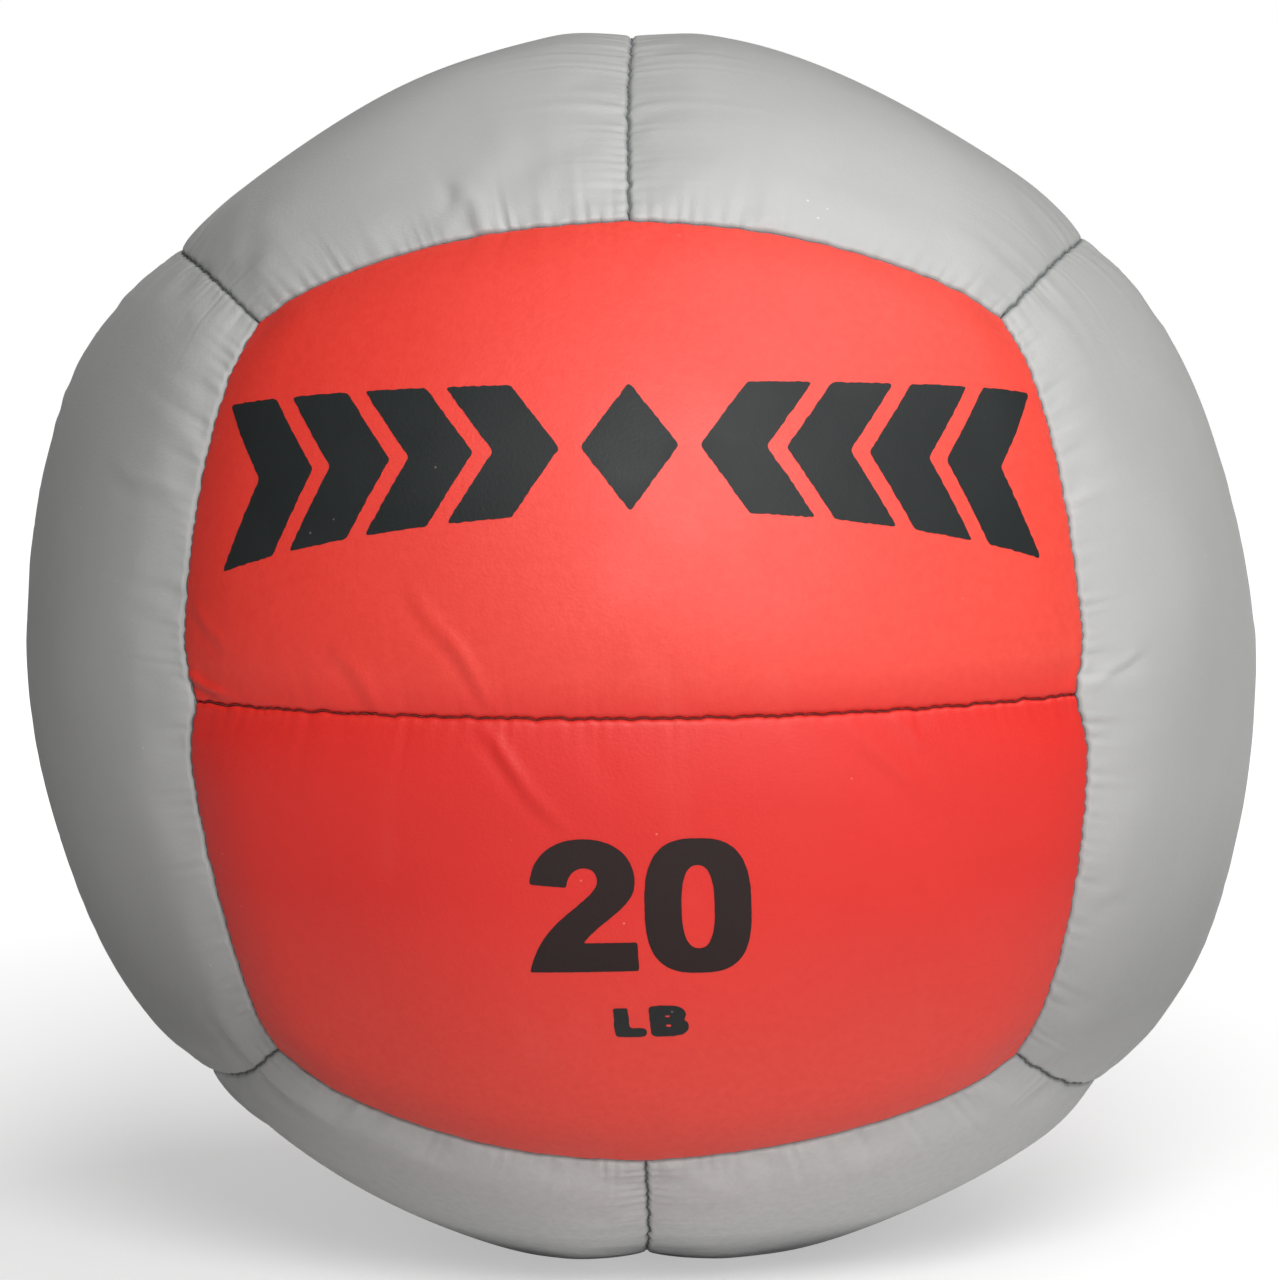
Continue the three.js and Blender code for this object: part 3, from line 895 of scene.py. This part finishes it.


# In each vinyl the pale colour is painted light, from below and as a sheen, and the darkest colour is painted
# shade, low down, near the floor and in the seams.
MATERIALS = {
    "red_vinyl": vinyl(
        "red_vinyl",
        colour=(0.81, 0.019, 0.011),
        deep=(0.73, 0.015, 0.009),
        pale=(0.97, 0.100, 0.064),
        lit_below=0.72 * RADIUS,
        painted_sheen=0.7,
        shade_colour=(0.16, 0.008, 0.007),
        seam_shade_reach=0.5 * MM,
        low_shade=0.0,
        scuff=(0.90, 0.16, 0.13),
        sheen=0.0,
    ),
    "grey_vinyl": vinyl(
        "grey_vinyl",
        colour=(0.49, 0.49, 0.48),
        deep=(0.44, 0.445, 0.435),
        pale=(0.78, 0.79, 0.78),
        lit_below=0.43 * RADIUS,
        painted_sheen=0,
        shade_colour=(0.15, 0.16, 0.16),
        seam_shade_reach=1.3 * MM,
        low_shade=0.32,
        scuff=(0.66, 0.66, 0.65),
        sheen=0.17,
    ),
    "red_thread": thread("red_thread", (0.24, 0.018, 0.014), (0.10, 0.008, 0.008)),
    "grey_thread": thread("grey_thread", (0.22, 0.24, 0.24), (0.10, 0.115, 0.12)),
    "foam": foam(),
    "lining": woven("lining", (0.78, 0.76, 0.70), (0.48, 0.46, 0.41), 0.6 * MM),
    "fibre": fibre(),
    "canvas": woven("canvas", (0.52, 0.44, 0.31), (0.27, 0.22, 0.145), 1.1 * MM),
    "nylon": nylon(),
    "iron_sand": iron_sand(),
}
LETTER_INK = ink("letter_ink", (0.016, 0.019, 0.019), (0.030, 0.033, 0.033))
NUMBER_INK = ink("number_ink", (0.022, 0.012, 0.011), (0.032, 0.020, 0.019))


# Pieces.


def take_place(piece, node):
    """Lets a piece stand for a CAD node, on the ball's one body."""
    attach(piece, ROOT)
    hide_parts(node)


def wall_ring(panel, along, across, inset, radius, lift):
    """The points round a panel at an inset from its seams, all at one radius."""
    direction = panel.direction(*inset_grid(panel, along, across, inset))
    return ring_of(settle(direction * radius, lift))


def inner_layer(panel, along, across, inset, depth):
    """A smooth grid of points at a depth under the cover's surface."""
    u, v = inset_grid(panel, along, across, inset)
    direction = panel.direction(u, v)
    swelling = refined(SWELLING[panel.name], (len(across) - 1) // SWELL_CELLS)
    radius = cover_radius(panel, u, v) + swelling + lump_height(direction) - depth
    return settle(direction * radius[..., None], depth)


def seam_distances(panel, along, across):
    u, v = inset_grid(panel, along, across, SEW_GAP / 2)
    return np.minimum.reduce([distance for distance, _, _, _ in panel.borders(u, v).values()])


def make_cover(panel):
    along, across = grid_lines(FINE_CELLS)
    outer = settle(panel_points(panel, along, across))
    coarse = along[::COARSE_STEP], across[::COARSE_STEP]
    inner = inner_layer(panel, *coarse, SEW_GAP / 2 + SKIN, SKIN)
    hem = [wall_ring(panel, *coarse, SEW_GAP / 2 + inset, SEAM_FOOT - HEM_DEPTH, SKIN) for inset in (0, SKIN)]
    slot = "red_vinyl" if panel.is_red else "grey_vinyl"
    piece = layer_piece(f"vinyl_{panel.name}", outer, hem, inner, MATERIALS[slot], panel.mirrored)
    distances = np.zeros(len(piece.data.vertices))
    shown = seam_distances(panel, along, across).ravel() / MM
    distances[: len(shown)] = shown
    piece.data.attributes.new("seam_distance", "FLOAT", "POINT").data.foreach_set("value", distances)
    take_place(piece, f"cover_{panel.name}")
    return outer


def make_pad(panel):
    along, across = grid_lines(SWELL_CELLS)
    inset = SEW_GAP / 2 + SKIN + PAD_INSET
    outer = inner_layer(panel, along, across, inset, SKIN + PAD_CLEAR)
    direction = panel.direction(*inset_grid(panel, along, across, inset))
    inner = settle(direction * PAD_INNER_RADIUS, SKIN + PAD_CLEAR)
    piece = layer_piece(f"pad_{panel.name}", outer, [], inner, MATERIALS["foam"], panel.mirrored)
    take_place(piece, f"foam_{panel.name}")


COVERS = {panel.name: make_cover(panel) for panel in PANELS}
for panel in PANELS:
    make_pad(panel)


# Threads.


def tube(name, centres, radii, sides, material):
    """A round tube along a line of points, closed at both ends."""
    way = unit(np.gradient(centres, axis=0))
    level = unit(np.cross(way, centres - CENTRE))
    upright = np.cross(level, way)
    turn = np.linspace(0, 2 * np.pi, sides, endpoint=False)[None, :, None]
    circles = level[:, None] * np.cos(turn) + upright[:, None] * np.sin(turn)
    points = (centres[:, None] + circles * radii[:, None, None]).reshape(-1, 3)
    count = len(centres)
    faces = []
    for ring in range(count - 1):
        for side in range(sides):
            a, b = ring * sides + side, ring * sides + (side + 1) % sides
            faces.append([a, b, b + sides, a + sides])
    faces.append(list(range(sides))[::-1])
    faces.append([(count - 1) * sides + side for side in range(sides)])
    return new_piece(name, points, faces, material)


def make_thread(panel, key, node, slot):
    """The thread in a panel's seam. It dips where it goes through the vinyl and swings with the seam line."""
    middle = key == "near"
    half_length = RADIUS * math.radians(middle_reach(panel.face) if middle else CORNER_ANGLE)
    seed = panel.borders(np.zeros(1), np.zeros(1))[key][3]
    reach = half_length - THREAD_STOP
    along = np.linspace(-reach, reach, round(2 * reach / STITCH_PITCH) * THREAD_STEPS)
    u = (1 + along / half_length) / 2
    v = np.full_like(u, 0 if middle else 1)
    direction = panel.direction(*scalloped(panel, u, v))
    lobe = stitch_lobe(along, seed)
    radius = SEAM_FOOT + THREAD_LIFT + lump_height(direction) - THREAD_SINK * (1 - lobe) ** 2
    centres = settle(direction * radius[..., None])
    centres[:, 2] = np.maximum(centres[:, 2], 1.5 * THREAD_RADIUS)
    thickness = THREAD_RADIUS * (0.72 + 0.28 * np.sqrt(lobe))
    name = node.replace("thread", "stitches")
    take_place(tube(name, centres, thickness, THREAD_SIDES, MATERIALS[slot]), node)


for panel in PANELS:
    face = FACE_NAMES[panel.axis][panel.side]
    owner = FACE_NAMES[(panel.axis + 1) % 3][panel.half]
    make_thread(panel, "far", f"thread_{owner}_to_{face}", "grey_thread")
    if panel.half:
        make_thread(panel, "near", f"thread_middle_{face}", "red_thread" if panel.is_red else "grey_thread")


# Print: the weight, its unit, and a plain band of arrowheads. Outlines of digits and letters are in shares of
# their size. Places are distances over the surface, right of and up from the middle of the front.


def curve(start, controls, steps=14):
    """Points of a Bezier curve from a start, given by two control points and its end."""
    t = np.linspace(0, 1, steps + 1)[1:, None]
    a, b, c, d = (np.array(p) for p in (start, *controls))
    return (a * (1 - t) ** 3 + 3 * b * t * (1 - t) ** 2 + 3 * c * t**2 * (1 - t) + d * t**3).tolist()


def outline_of(start, *steps):
    """An outline by steps from a start. Each step is a point, or a curve's two control points and its end."""
    points = [start]
    for step in steps:
        points += [step] if np.ndim(step) == 1 else curve(points[-1], step)
    return np.array(points)


def two_outline():
    return outline_of(
        (0, 0),
        ((0.06, 0.26), (0.20, 0.38), (0.35, 0.50)),
        ((0.46, 0.59), (0.52, 0.64), (0.52, 0.70)),
        ((0.52, 0.83), (0.30, 0.83), (0.289, 0.649)),
        (0.014, 0.67),
        ((0.03, 0.88), (0.19, 1.0), (0.423, 1.0)),
        ((0.65, 1.0), (0.798, 0.88), (0.798, 0.69)),
        ((0.798, 0.50), (0.55, 0.42), (0.405, 0.232)),
        (0.806, 0.238),
        (0.815, 0.015),
    )


def oval_outline(middle, half_size, squareness, steps=72):
    turn = np.linspace(0, 2 * np.pi, steps, endpoint=False)
    circle = np.stack([np.cos(turn), np.sin(turn)], -1)
    return np.array(middle) + np.array(half_size) * np.sign(circle) * np.abs(circle) ** (2 / squareness)


def ell_outline():
    return outline_of(
        (0.0, 0.96),
        (0.02, 0.35),
        ((0.03, 0.12), (0.06, 0.01), (0.20, 0.01)),
        (0.95, 0.0),
        ((1.16, 0.02), (1.16, 0.30), (0.95, 0.30)),
        (0.53, 0.30),
        (0.48, 0.97),
    )


def bee_outline():
    closed = outline_of(
        (1.23, 0.15),
        (1.17, 1.0),
        ((1.6, 1.05), (2.41, 1.08), (2.41, 0.76)),
        ((2.41, 0.66), (2.38, 0.58), (2.33, 0.54)),
        ((2.46, 0.50), (2.5, 0.42), (2.5, 0.36)),
        ((2.5, 0.02), (2.2, 0.02), (1.5, 0.0)),
        ((1.33, 0.0), (1.25, 0.02), (1.23, 0.15)),
    )
    return closed[:-1]


NUMBER_SIZE = np.array([35.8, 38.8]) * MM
NUMBER_PLACE = np.array([-29.3, -71.1]) * MM
NUMBER_TILT = -0.017  # its fall towards the right, as a slope
UNIT_SIZE = np.array([8.05, 10.2]) * MM
UNIT_PLACE = np.array([-7.4, -92.3]) * MM
ARROW_THICKNESS = 17.8 * MM
ARROW_DEPTH = 13 * MM
ARROW_GAP = 5.5 * MM
ARROWS_EACH_SIDE = 4
BAND_HEIGHT = 36 * MM
BAND_FLARE = 0.24  # how much taller the band is at its ends
BAND_LEVEL = 73 * MM
BAND_DROP = 11 * MM
BAND_HALF_LENGTH = 110 * MM


def arched(points):
    """Bends a level band into the shallow arch that it has on the ball, taller towards its ends."""
    share = (points[:, 0] / BAND_HALF_LENGTH) ** 2
    height = BAND_LEVEL - BAND_DROP * share + points[:, 1] * (1 + BAND_FLARE * share)
    return np.stack([points[:, 0], height], -1)


def band_outlines():
    """A lozenge with a row of arrowheads on each side that point to it, bent into an arch."""
    half, deep, thick = BAND_HEIGHT / 2, ARROW_DEPTH, ARROW_THICKNESS
    outlines = [np.array([[-deep, 0], [0, half], [deep, 0], [0, -half]])]
    for side in (-1, 1):
        for number in range(ARROWS_EACH_SIDE):
            tip = ARROW_DEPTH + ARROW_GAP + number * (ARROW_THICKNESS + ARROW_GAP)
            upper = [[tip, 0], [tip + deep, half], [tip + deep + thick, half], [tip + thick, 0]]
            lower = [[tip + deep + thick, -half], [tip + deep, -half]]
            outlines.append(np.array(upper + lower) * (side, 1))
    return [arched(rough_outline(outline, roughness=0, seed=0)) for outline in outlines]


def rough_outline(outline, roughness, seed):
    """The outline in short steps, with corners rounded off and an edge as uneven as screen print."""
    closed = np.vstack([outline, outline[:1]])
    lengths = np.linalg.norm(np.diff(closed, axis=0), axis=1)
    run = np.concatenate([[0], np.cumsum(lengths)])
    count = max(12, round(run[-1] / INK_EDGE_STEP))
    at = np.arange(count) * run[-1] / count
    points = np.stack([np.interp(at, run, closed[:, i]) for i in (0, 1)], -1)
    points = (np.roll(points, 1, axis=0) + 2 * points + np.roll(points, -1, axis=0)) / 4
    for i in (0, 1):
        points[:, i] += roughness * smooth_noise(points, 3 * MM, seed + i)
    return points


def inside(points, outlines):
    """Which points lie within an odd number of outlines."""
    result = np.zeros(len(points), bool)
    x, y = points[:, :1], points[:, 1:]
    for outline in outlines:
        (x0, y0), (x1, y1) = outline.T, np.roll(outline, -1, axis=0).T
        crosses = (y0 > y) != (y1 > y)
        with np.errstate(divide="ignore", invalid="ignore"):
            left = x < x0 + (y - y0) * (x1 - x0) / (y1 - y0)
        result ^= (crosses & left).sum(1) % 2 == 1
    return result


def filled(outlines):
    """Triangles of even size that fill the outlines, and the edges round them."""
    border = np.vstack(outlines)
    edges = []
    for outline in outlines:
        first = len(edges)
        edges += [(first + i, first + (i + 1) % len(outline)) for i in range(len(outline))]
    low, high = border.min(0), border.max(0)
    grid = np.stack(np.meshgrid(*(np.arange(low[i], high[i], INK_STEP) for i in (0, 1))), -1).reshape(-1, 2)
    grid = grid[inside(grid, outlines)]
    near = np.array([np.abs(border - point).max(1).min() for point in grid])
    grid = grid[near > 0.5 * INK_STEP]
    flat = np.vstack([border, grid]) / MM
    result = delaunay_2d_cdt([Vector(p) for p in flat], edges, [], 0, 1e-4)
    points = np.array([tuple(p) for p in result[0]]) * MM
    triangles = np.array(result[2])
    return points, triangles[inside(points[triangles].mean(1), outlines)]


def open_edges(triangles):
    """The edges of a sheet of triangles that have one triangle only."""
    edges = np.concatenate([triangles[:, [i, (i + 1) % 3]] for i in range(3)])
    seen = {tuple(edge) for edge in edges.tolist()}
    return [edge for edge in sorted(seen) if edge[::-1] not in seen]


def front_surface():
    """The shown surface of the two front panels, to lay print on."""
    points, faces = [], []
    for panel in PANELS:
        if panel.name.startswith("front"):
            outer = COVERS[panel.name]
            faces += grid_quads(len(points), *outer.shape[:2], panel.mirrored)
            points += outer.reshape(-1, 3).tolist()
    return BVHTree.FromPolygons(points, faces)


FRONT = front_surface()


def print_piece(name, outlines, material, roughness, seed):
    """Ink laid on the front of the ball. Outlines are lengths to the right and up along its surface."""
    rough = [rough_outline(outline, roughness, seed + 10 * i) for i, outline in enumerate(outlines)]
    flat, triangles = filled(rough)
    up = flat[:, 1] / RADIUS
    turn = flat[:, 0] / (RADIUS * np.cos(up))
    directions = np.stack([np.sin(turn) * np.cos(up), -np.cos(turn) * np.cos(up), np.sin(up)], -1)
    surface = []
    for direction in directions:
        start = Vector(CENTRE + direction * RADIUS * 1.2)
        surface.append(FRONT.ray_cast(start, Vector(-direction))[0])
    surface = np.array([tuple(point) for point in surface])
    count = len(flat)
    points = np.vstack([surface + directions * INK_RISE, surface - directions * INK_SINK])
    faces = triangles.tolist() + (triangles[:, ::-1] + count).tolist()
    faces += [[b, a, a + count, b + count] for a, b in open_edges(triangles)]
    piece = new_piece(name, points, faces, material, smooth=False)
    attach(piece, ROOT)


def number_outlines():
    zero = [oval_outline((1.263, 0.5), (0.398, 0.504), 2.8), oval_outline((1.263, 0.5), (0.123, 0.312), 2.5)]
    placed = [outline * NUMBER_SIZE + NUMBER_PLACE for outline in (two_outline(), *zero)]
    return [outline + np.outer(outline[:, 0], (0, NUMBER_TILT)) for outline in placed]


def unit_outlines():
    slits = [oval_outline((1.79, 0.68), (0.10, 0.04), 2), oval_outline((1.83, 0.36), (0.11, 0.045), 2)]
    return [outline * UNIT_SIZE + UNIT_PLACE for outline in (ell_outline(), bee_outline(), *slits)]


print_piece("print_number", number_outlines(), NUMBER_INK, roughness=0.02 * MM, seed=300)
print_piece("print_unit", unit_outlines(), LETTER_INK, roughness=0.05 * MM, seed=400)
print_piece("print_band", band_outlines(), LETTER_INK, roughness=0.06 * MM, seed=500)


# Stuffing and ballast, turned round the upright axis through the middle of the ball.


def turned_piece(name, profile, material, shape, sides):
    """A body turned from (radius, height) points, which run from axis to axis or close on themselves."""
    closed = profile[0][0] > 0
    turn = np.linspace(0, 2 * np.pi, sides, endpoint=False)
    points = []
    rings = []
    for radius, height in profile:
        turns = turn if radius > 0 else turn[:1]
        ring = [(radius * math.cos(t), radius * math.sin(t), height) for t in turns]
        rings.append([len(points) + i % len(ring) for i in range(sides)])
        points += ring
    next_rings = rings[1:] + rings[:1] if closed else rings[1:]
    faces = []
    for low, high in zip(rings, next_rings):
        for i in range(sides):
            j = (i + 1) % sides
            corners = [low[i], low[j], high[j], high[i]]
            faces.append(list(dict.fromkeys(corners)))
    return new_piece(name, settle(shape(np.array(points, dtype=float))), faces, material)


def arc(radius, start, end, steps):
    """Points of a circle round the middle, by degrees over the level. Points at the poles lie on the axis."""
    points = []
    for angle in np.linspace(start, end, steps + 1):
        at_pole = abs(abs(angle) - 90) < 1e-6
        turn = math.radians(angle)
        points.append((0 if at_pole else radius * math.cos(turn), radius * math.sin(turn)))
    return points


def profile_between(points, step):
    """The points of a profile with others between them, no further apart than a step."""
    result = [points[0]]
    for start, end in zip(points, points[1:]):
        count = max(1, math.ceil(math.dist(start, end) / step))
        result += [tuple(np.array(start) + (np.array(end) - start) * i / count) for i in range(1, count + 1)]
    return result


def half_ball(outer_radius, inner_profile, sign):
    """Profile of the upper or lower half of a hollow ball, its rim half a gap off the middle."""
    profile = arc(outer_radius, 90, 0, 48) + inner_profile
    profile = [(radius, max(height, CLEAR / 2)) for radius, height in profile]
    return profile if sign > 0 else [(radius, -height) for radius, height in profile][::-1]


def moved_out(points, distance):
    """Points moved away from the middle. Those next to the level middle plane keep their height."""
    moved = points + unit(points) * distance[:, None]
    moved[:, 2] = np.where(np.abs(points[:, 2]) > CLEAR, moved[:, 2], points[:, 2])
    return moved


def noise_share(points, wavelength, seed, steepness=1.0):
    """Noise held between 0 and 1."""
    return 0.5 + 0.5 * np.tanh(steepness * smooth_noise(points, wavelength, seed))


def wavering(points):
    """The cloth of the lining, drawn in here and there."""
    return moved_out(points, -0.3 * MM * noise_share(points, 30 * MM, seed=11))


def tufted(hollow):
    """Loose tufts: outer points are drawn in, and the points of the hollow are pushed out."""
    def shape(points):
        size = np.linalg.norm(points, axis=1)
        tufts = 2.2 * MM * noise_share(points, 22 * MM, seed=21, steepness=1.5)
        strands = 0.8 * MM * noise_share(points, 7 * MM, seed=22)
        return moved_out(points, (tufts + strands) * np.where(size > 1.3 * hollow, -1, 1))
    return shape


def pleated(points):
    """Gathers of the bag under and over its tie."""
    out = np.hypot(points[:, 0], points[:, 1])
    turn = np.arctan2(points[:, 1], points[:, 0])
    height = points[:, 2]
    gathered = smooth_step((height - 0.55 * CORE_RADIUS) / (0.4 * CORE_RADIUS))
    off_tie = smooth_step((np.abs(height - TIE_HEIGHT) - 3 * MM) / (3 * MM))
    uneven = smooth_noise(np.stack([np.cos(turn), np.sin(turn)], -1), 0.9, seed=31)
    wave = 0.5 + 0.5 * np.cos(NECK_PLEATS * turn + uneven)
    push = 1.2 * MM * gathered * off_tie * wave + 0.4 * MM * (1 - gathered) * smooth_step(uneven)
    scale = 1 + push / np.maximum(out, 1 * MM)
    return points * np.stack([scale, scale, np.ones_like(scale)], -1)


def make_fill():
    inner_radius = LINING_RADIUS - LINING_SKIN
    hollow = CORE_RADIUS + CORE_CLEAR + TUFT_CLEAR
    pocket = NECK_FLARE + CORE_CLEAR
    pocket_angle = math.degrees(math.acos(pocket / hollow))
    pocket_top = MOUTH_HEIGHT + CORE_CLEAR
    with_pocket = arc(hollow, 0, pocket_angle, 40) + [(pocket, pocket_top), (0, pocket_top)]
    for word, sign in (("upper", 1), ("lower", -1)):
        cloth_profile = half_ball(LINING_RADIUS, arc(inner_radius, 0, 90, 48), sign)
        cloth = turned_piece(f"cloth_lining_{word}", cloth_profile, MATERIALS["lining"], wavering, sides=120)
        take_place(cloth, f"lining_{word}")
        inner = with_pocket if sign > 0 else arc(hollow, 0, 90, 44)
        wool_profile = profile_between(half_ball(inner_radius - CLEAR, inner, sign), step=6 * MM)
        wool = turned_piece(f"wool_{word}", wool_profile, MATERIALS["fibre"], tufted(hollow), sides=140)
        take_place(wool, f"fibre_fill_{word}")


def make_core():
    shoulder = math.degrees(math.acos(NECK_FLARE / CORE_RADIUS))
    outer = [(NECK_FLARE, MOUTH_HEIGHT), (NECK_RADIUS, TIE_HEIGHT + 2 * TIE_RADIUS),
             (NECK_RADIUS, TIE_HEIGHT - 2 * TIE_RADIUS)]
    inner = [(radius - CORE_SKIN, height) for radius, height in outer[::-1]]
    rising = arc(CORE_RADIUS - CORE_SKIN, -90, shoulder, 60) + inner
    falling = outer + arc(CORE_RADIUS, shoulder, -90, 60)
    profile = profile_between(rising + falling, step=2.5 * MM)
    bag = turned_piece("canvas_bag", profile, MATERIALS["canvas"], pleated, sides=8 * NECK_PLEATS)
    take_place(bag, "ballast_bag")

    def heaped(points):
        near_top = smooth_step((points[:, 2] - 0.9 * CORE_RADIUS) / (0.05 * CORE_RADIUS))
        points[:, 2] -= near_top * 1.2 * MM * noise_share(points, 9 * MM, seed=41)
        return points

    sand_arc = arc(CORE_RADIUS - CORE_SKIN - CLEAR, shoulder, -90, 60)
    sand_profile = profile_between([(0, sand_arc[0][1]), *sand_arc], step=2.5 * MM)
    sand = turned_piece("sand", sand_profile, MATERIALS["iron_sand"], heaped, sides=120)
    take_place(sand, "ballast_sand")

    turn = np.linspace(0, 2 * np.pi, 16, endpoint=False)
    middle = NECK_RADIUS + CLEAR + TIE_RADIUS
    tie_profile = [(middle - TIE_RADIUS * math.cos(t), TIE_HEIGHT + TIE_RADIUS * math.sin(t)) for t in turn]
    tie = turned_piece("nylon_tie", tie_profile, MATERIALS["nylon"], lambda points: points, sides=72)
    take_place(tie, "ballast_bag_tie")


make_fill()
make_core()


# Camera, lights and stage.

CAMERA_DISTANCE = 1.752
CAMERA_YAW = -0.93  # degrees, as the pitch and roll
CAMERA_PITCH = 6.2
CAMERA_ROLL = -1.12
LENS = 169.25  # millimetres
AIM_RIGHT = -1.2 * MM  # how far the camera is moved sideways and up, without turning
AIM_UP = 1.8 * MM
SKY_LIGHT = 0.02  # the strength of the light from all round, which the camera sees as white
FLOOR_RADIUS = 40

# Lights: place, size and power. All of them face the ball.
LIGHTS = {
    "key": ((0.3, -2.2, 1.6), 1.1, 45),
    "right": ((1.3, -2.3, 0.9), 1.6, 10),
    "top": ((0.9, -0.3, 1.95), 1.6, 18),
    "low": ((0.9, -1.5, 0.1), 0.9, 3),
}


def make_camera():
    yaw, pitch, roll = (math.radians(a) for a in (CAMERA_YAW, CAMERA_PITCH, CAMERA_ROLL))
    ahead = Vector((math.sin(yaw) * math.cos(pitch), math.cos(yaw) * math.cos(pitch), -math.sin(pitch)))
    level = Vector((math.cos(yaw), -math.sin(yaw), 0))
    upright = level.cross(ahead)
    right = level * math.cos(roll) + upright * math.sin(roll)
    up = upright * math.cos(roll) - level * math.sin(roll)
    data = bpy.data.cameras.new("camera")
    data.lens = LENS
    data.sensor_width = 36
    data.clip_end = 100
    camera = add_object("camera", data)
    place = Vector(CENTRE) - ahead * CAMERA_DISTANCE + right * AIM_RIGHT + up * AIM_UP
    camera.matrix_world = Matrix.Translation(place) @ Matrix((right, up, -ahead)).transposed().to_4x4()
    bpy.context.scene.camera = camera


def make_light(name, place, size, power):
    data = bpy.data.lights.new(name, "AREA")
    data.shape = "DISK"
    data.size = size
    data.energy = power
    light = add_object(name, data)
    light.location = place
    aim = Vector(CENTRE) - Vector(place)
    light.rotation_euler = aim.to_track_quat("-Z", "Y").to_euler()


def make_world():
    world = bpy.data.worlds.new("studio")
    world.use_nodes = True
    bpy.context.scene.world = world
    nodes, links = world.node_tree.nodes, world.node_tree.links
    sky = nodes["Background"]
    sky.inputs["Color"].default_value = (1, 1, 1, 1)
    seen = nodes.new("ShaderNodeLightPath")
    strength = nodes.new("ShaderNodeMapRange")
    strength.inputs["To Min"].default_value = SKY_LIGHT
    strength.inputs["To Max"].default_value = 1.0
    links.new(seen.outputs["Is Camera Ray"], strength.inputs["Value"])
    links.new(strength.outputs["Result"], sky.inputs["Strength"])


def make_floor():
    """A wide pale floor. What the camera sees of it glows up to white away from the ball, with no horizon."""
    paint = Paint("floor_paint")
    tone = paint.spread(paint.noise(0.8, 3), 0.3, 0.7)
    paint.set("Base Color", paint.mix(tone, (0.61, 0.61, 0.61), (0.65, 0.65, 0.65)))
    paint.set("Roughness", 0.8)
    reach = paint.nodes.new("ShaderNodeVectorMath")
    reach.operation = "LENGTH"
    paint.links.new(paint.place, reach.inputs[0])
    paint.set("Emission Color", (1, 1, 1, 1))
    glow = paint.spread(reach.outputs["Value"], 0.05, 1.1, 0.45, 1.0)
    seen = paint.nodes.new("ShaderNodeLightPath").outputs["Is Camera Ray"]
    paint.set("Emission Strength", paint.math("MAXIMUM", 0.02, paint.math("MULTIPLY", glow, seen)))
    mesh = bpy.data.meshes.new("floor")
    shape = bmesh.new()
    bmesh.ops.create_circle(shape, cap_ends=True, segments=64, radius=FLOOR_RADIUS)
    shape.to_mesh(mesh)
    shape.free()
    mesh.materials.append(paint.material)
    floor = add_object("floor", mesh)


make_camera()
make_world()
make_floor()
for name, (place, size, power) in LIGHTS.items():
    make_light(name, place, size, power)
bpy.context.scene.view_settings.view_transform = "Standard"
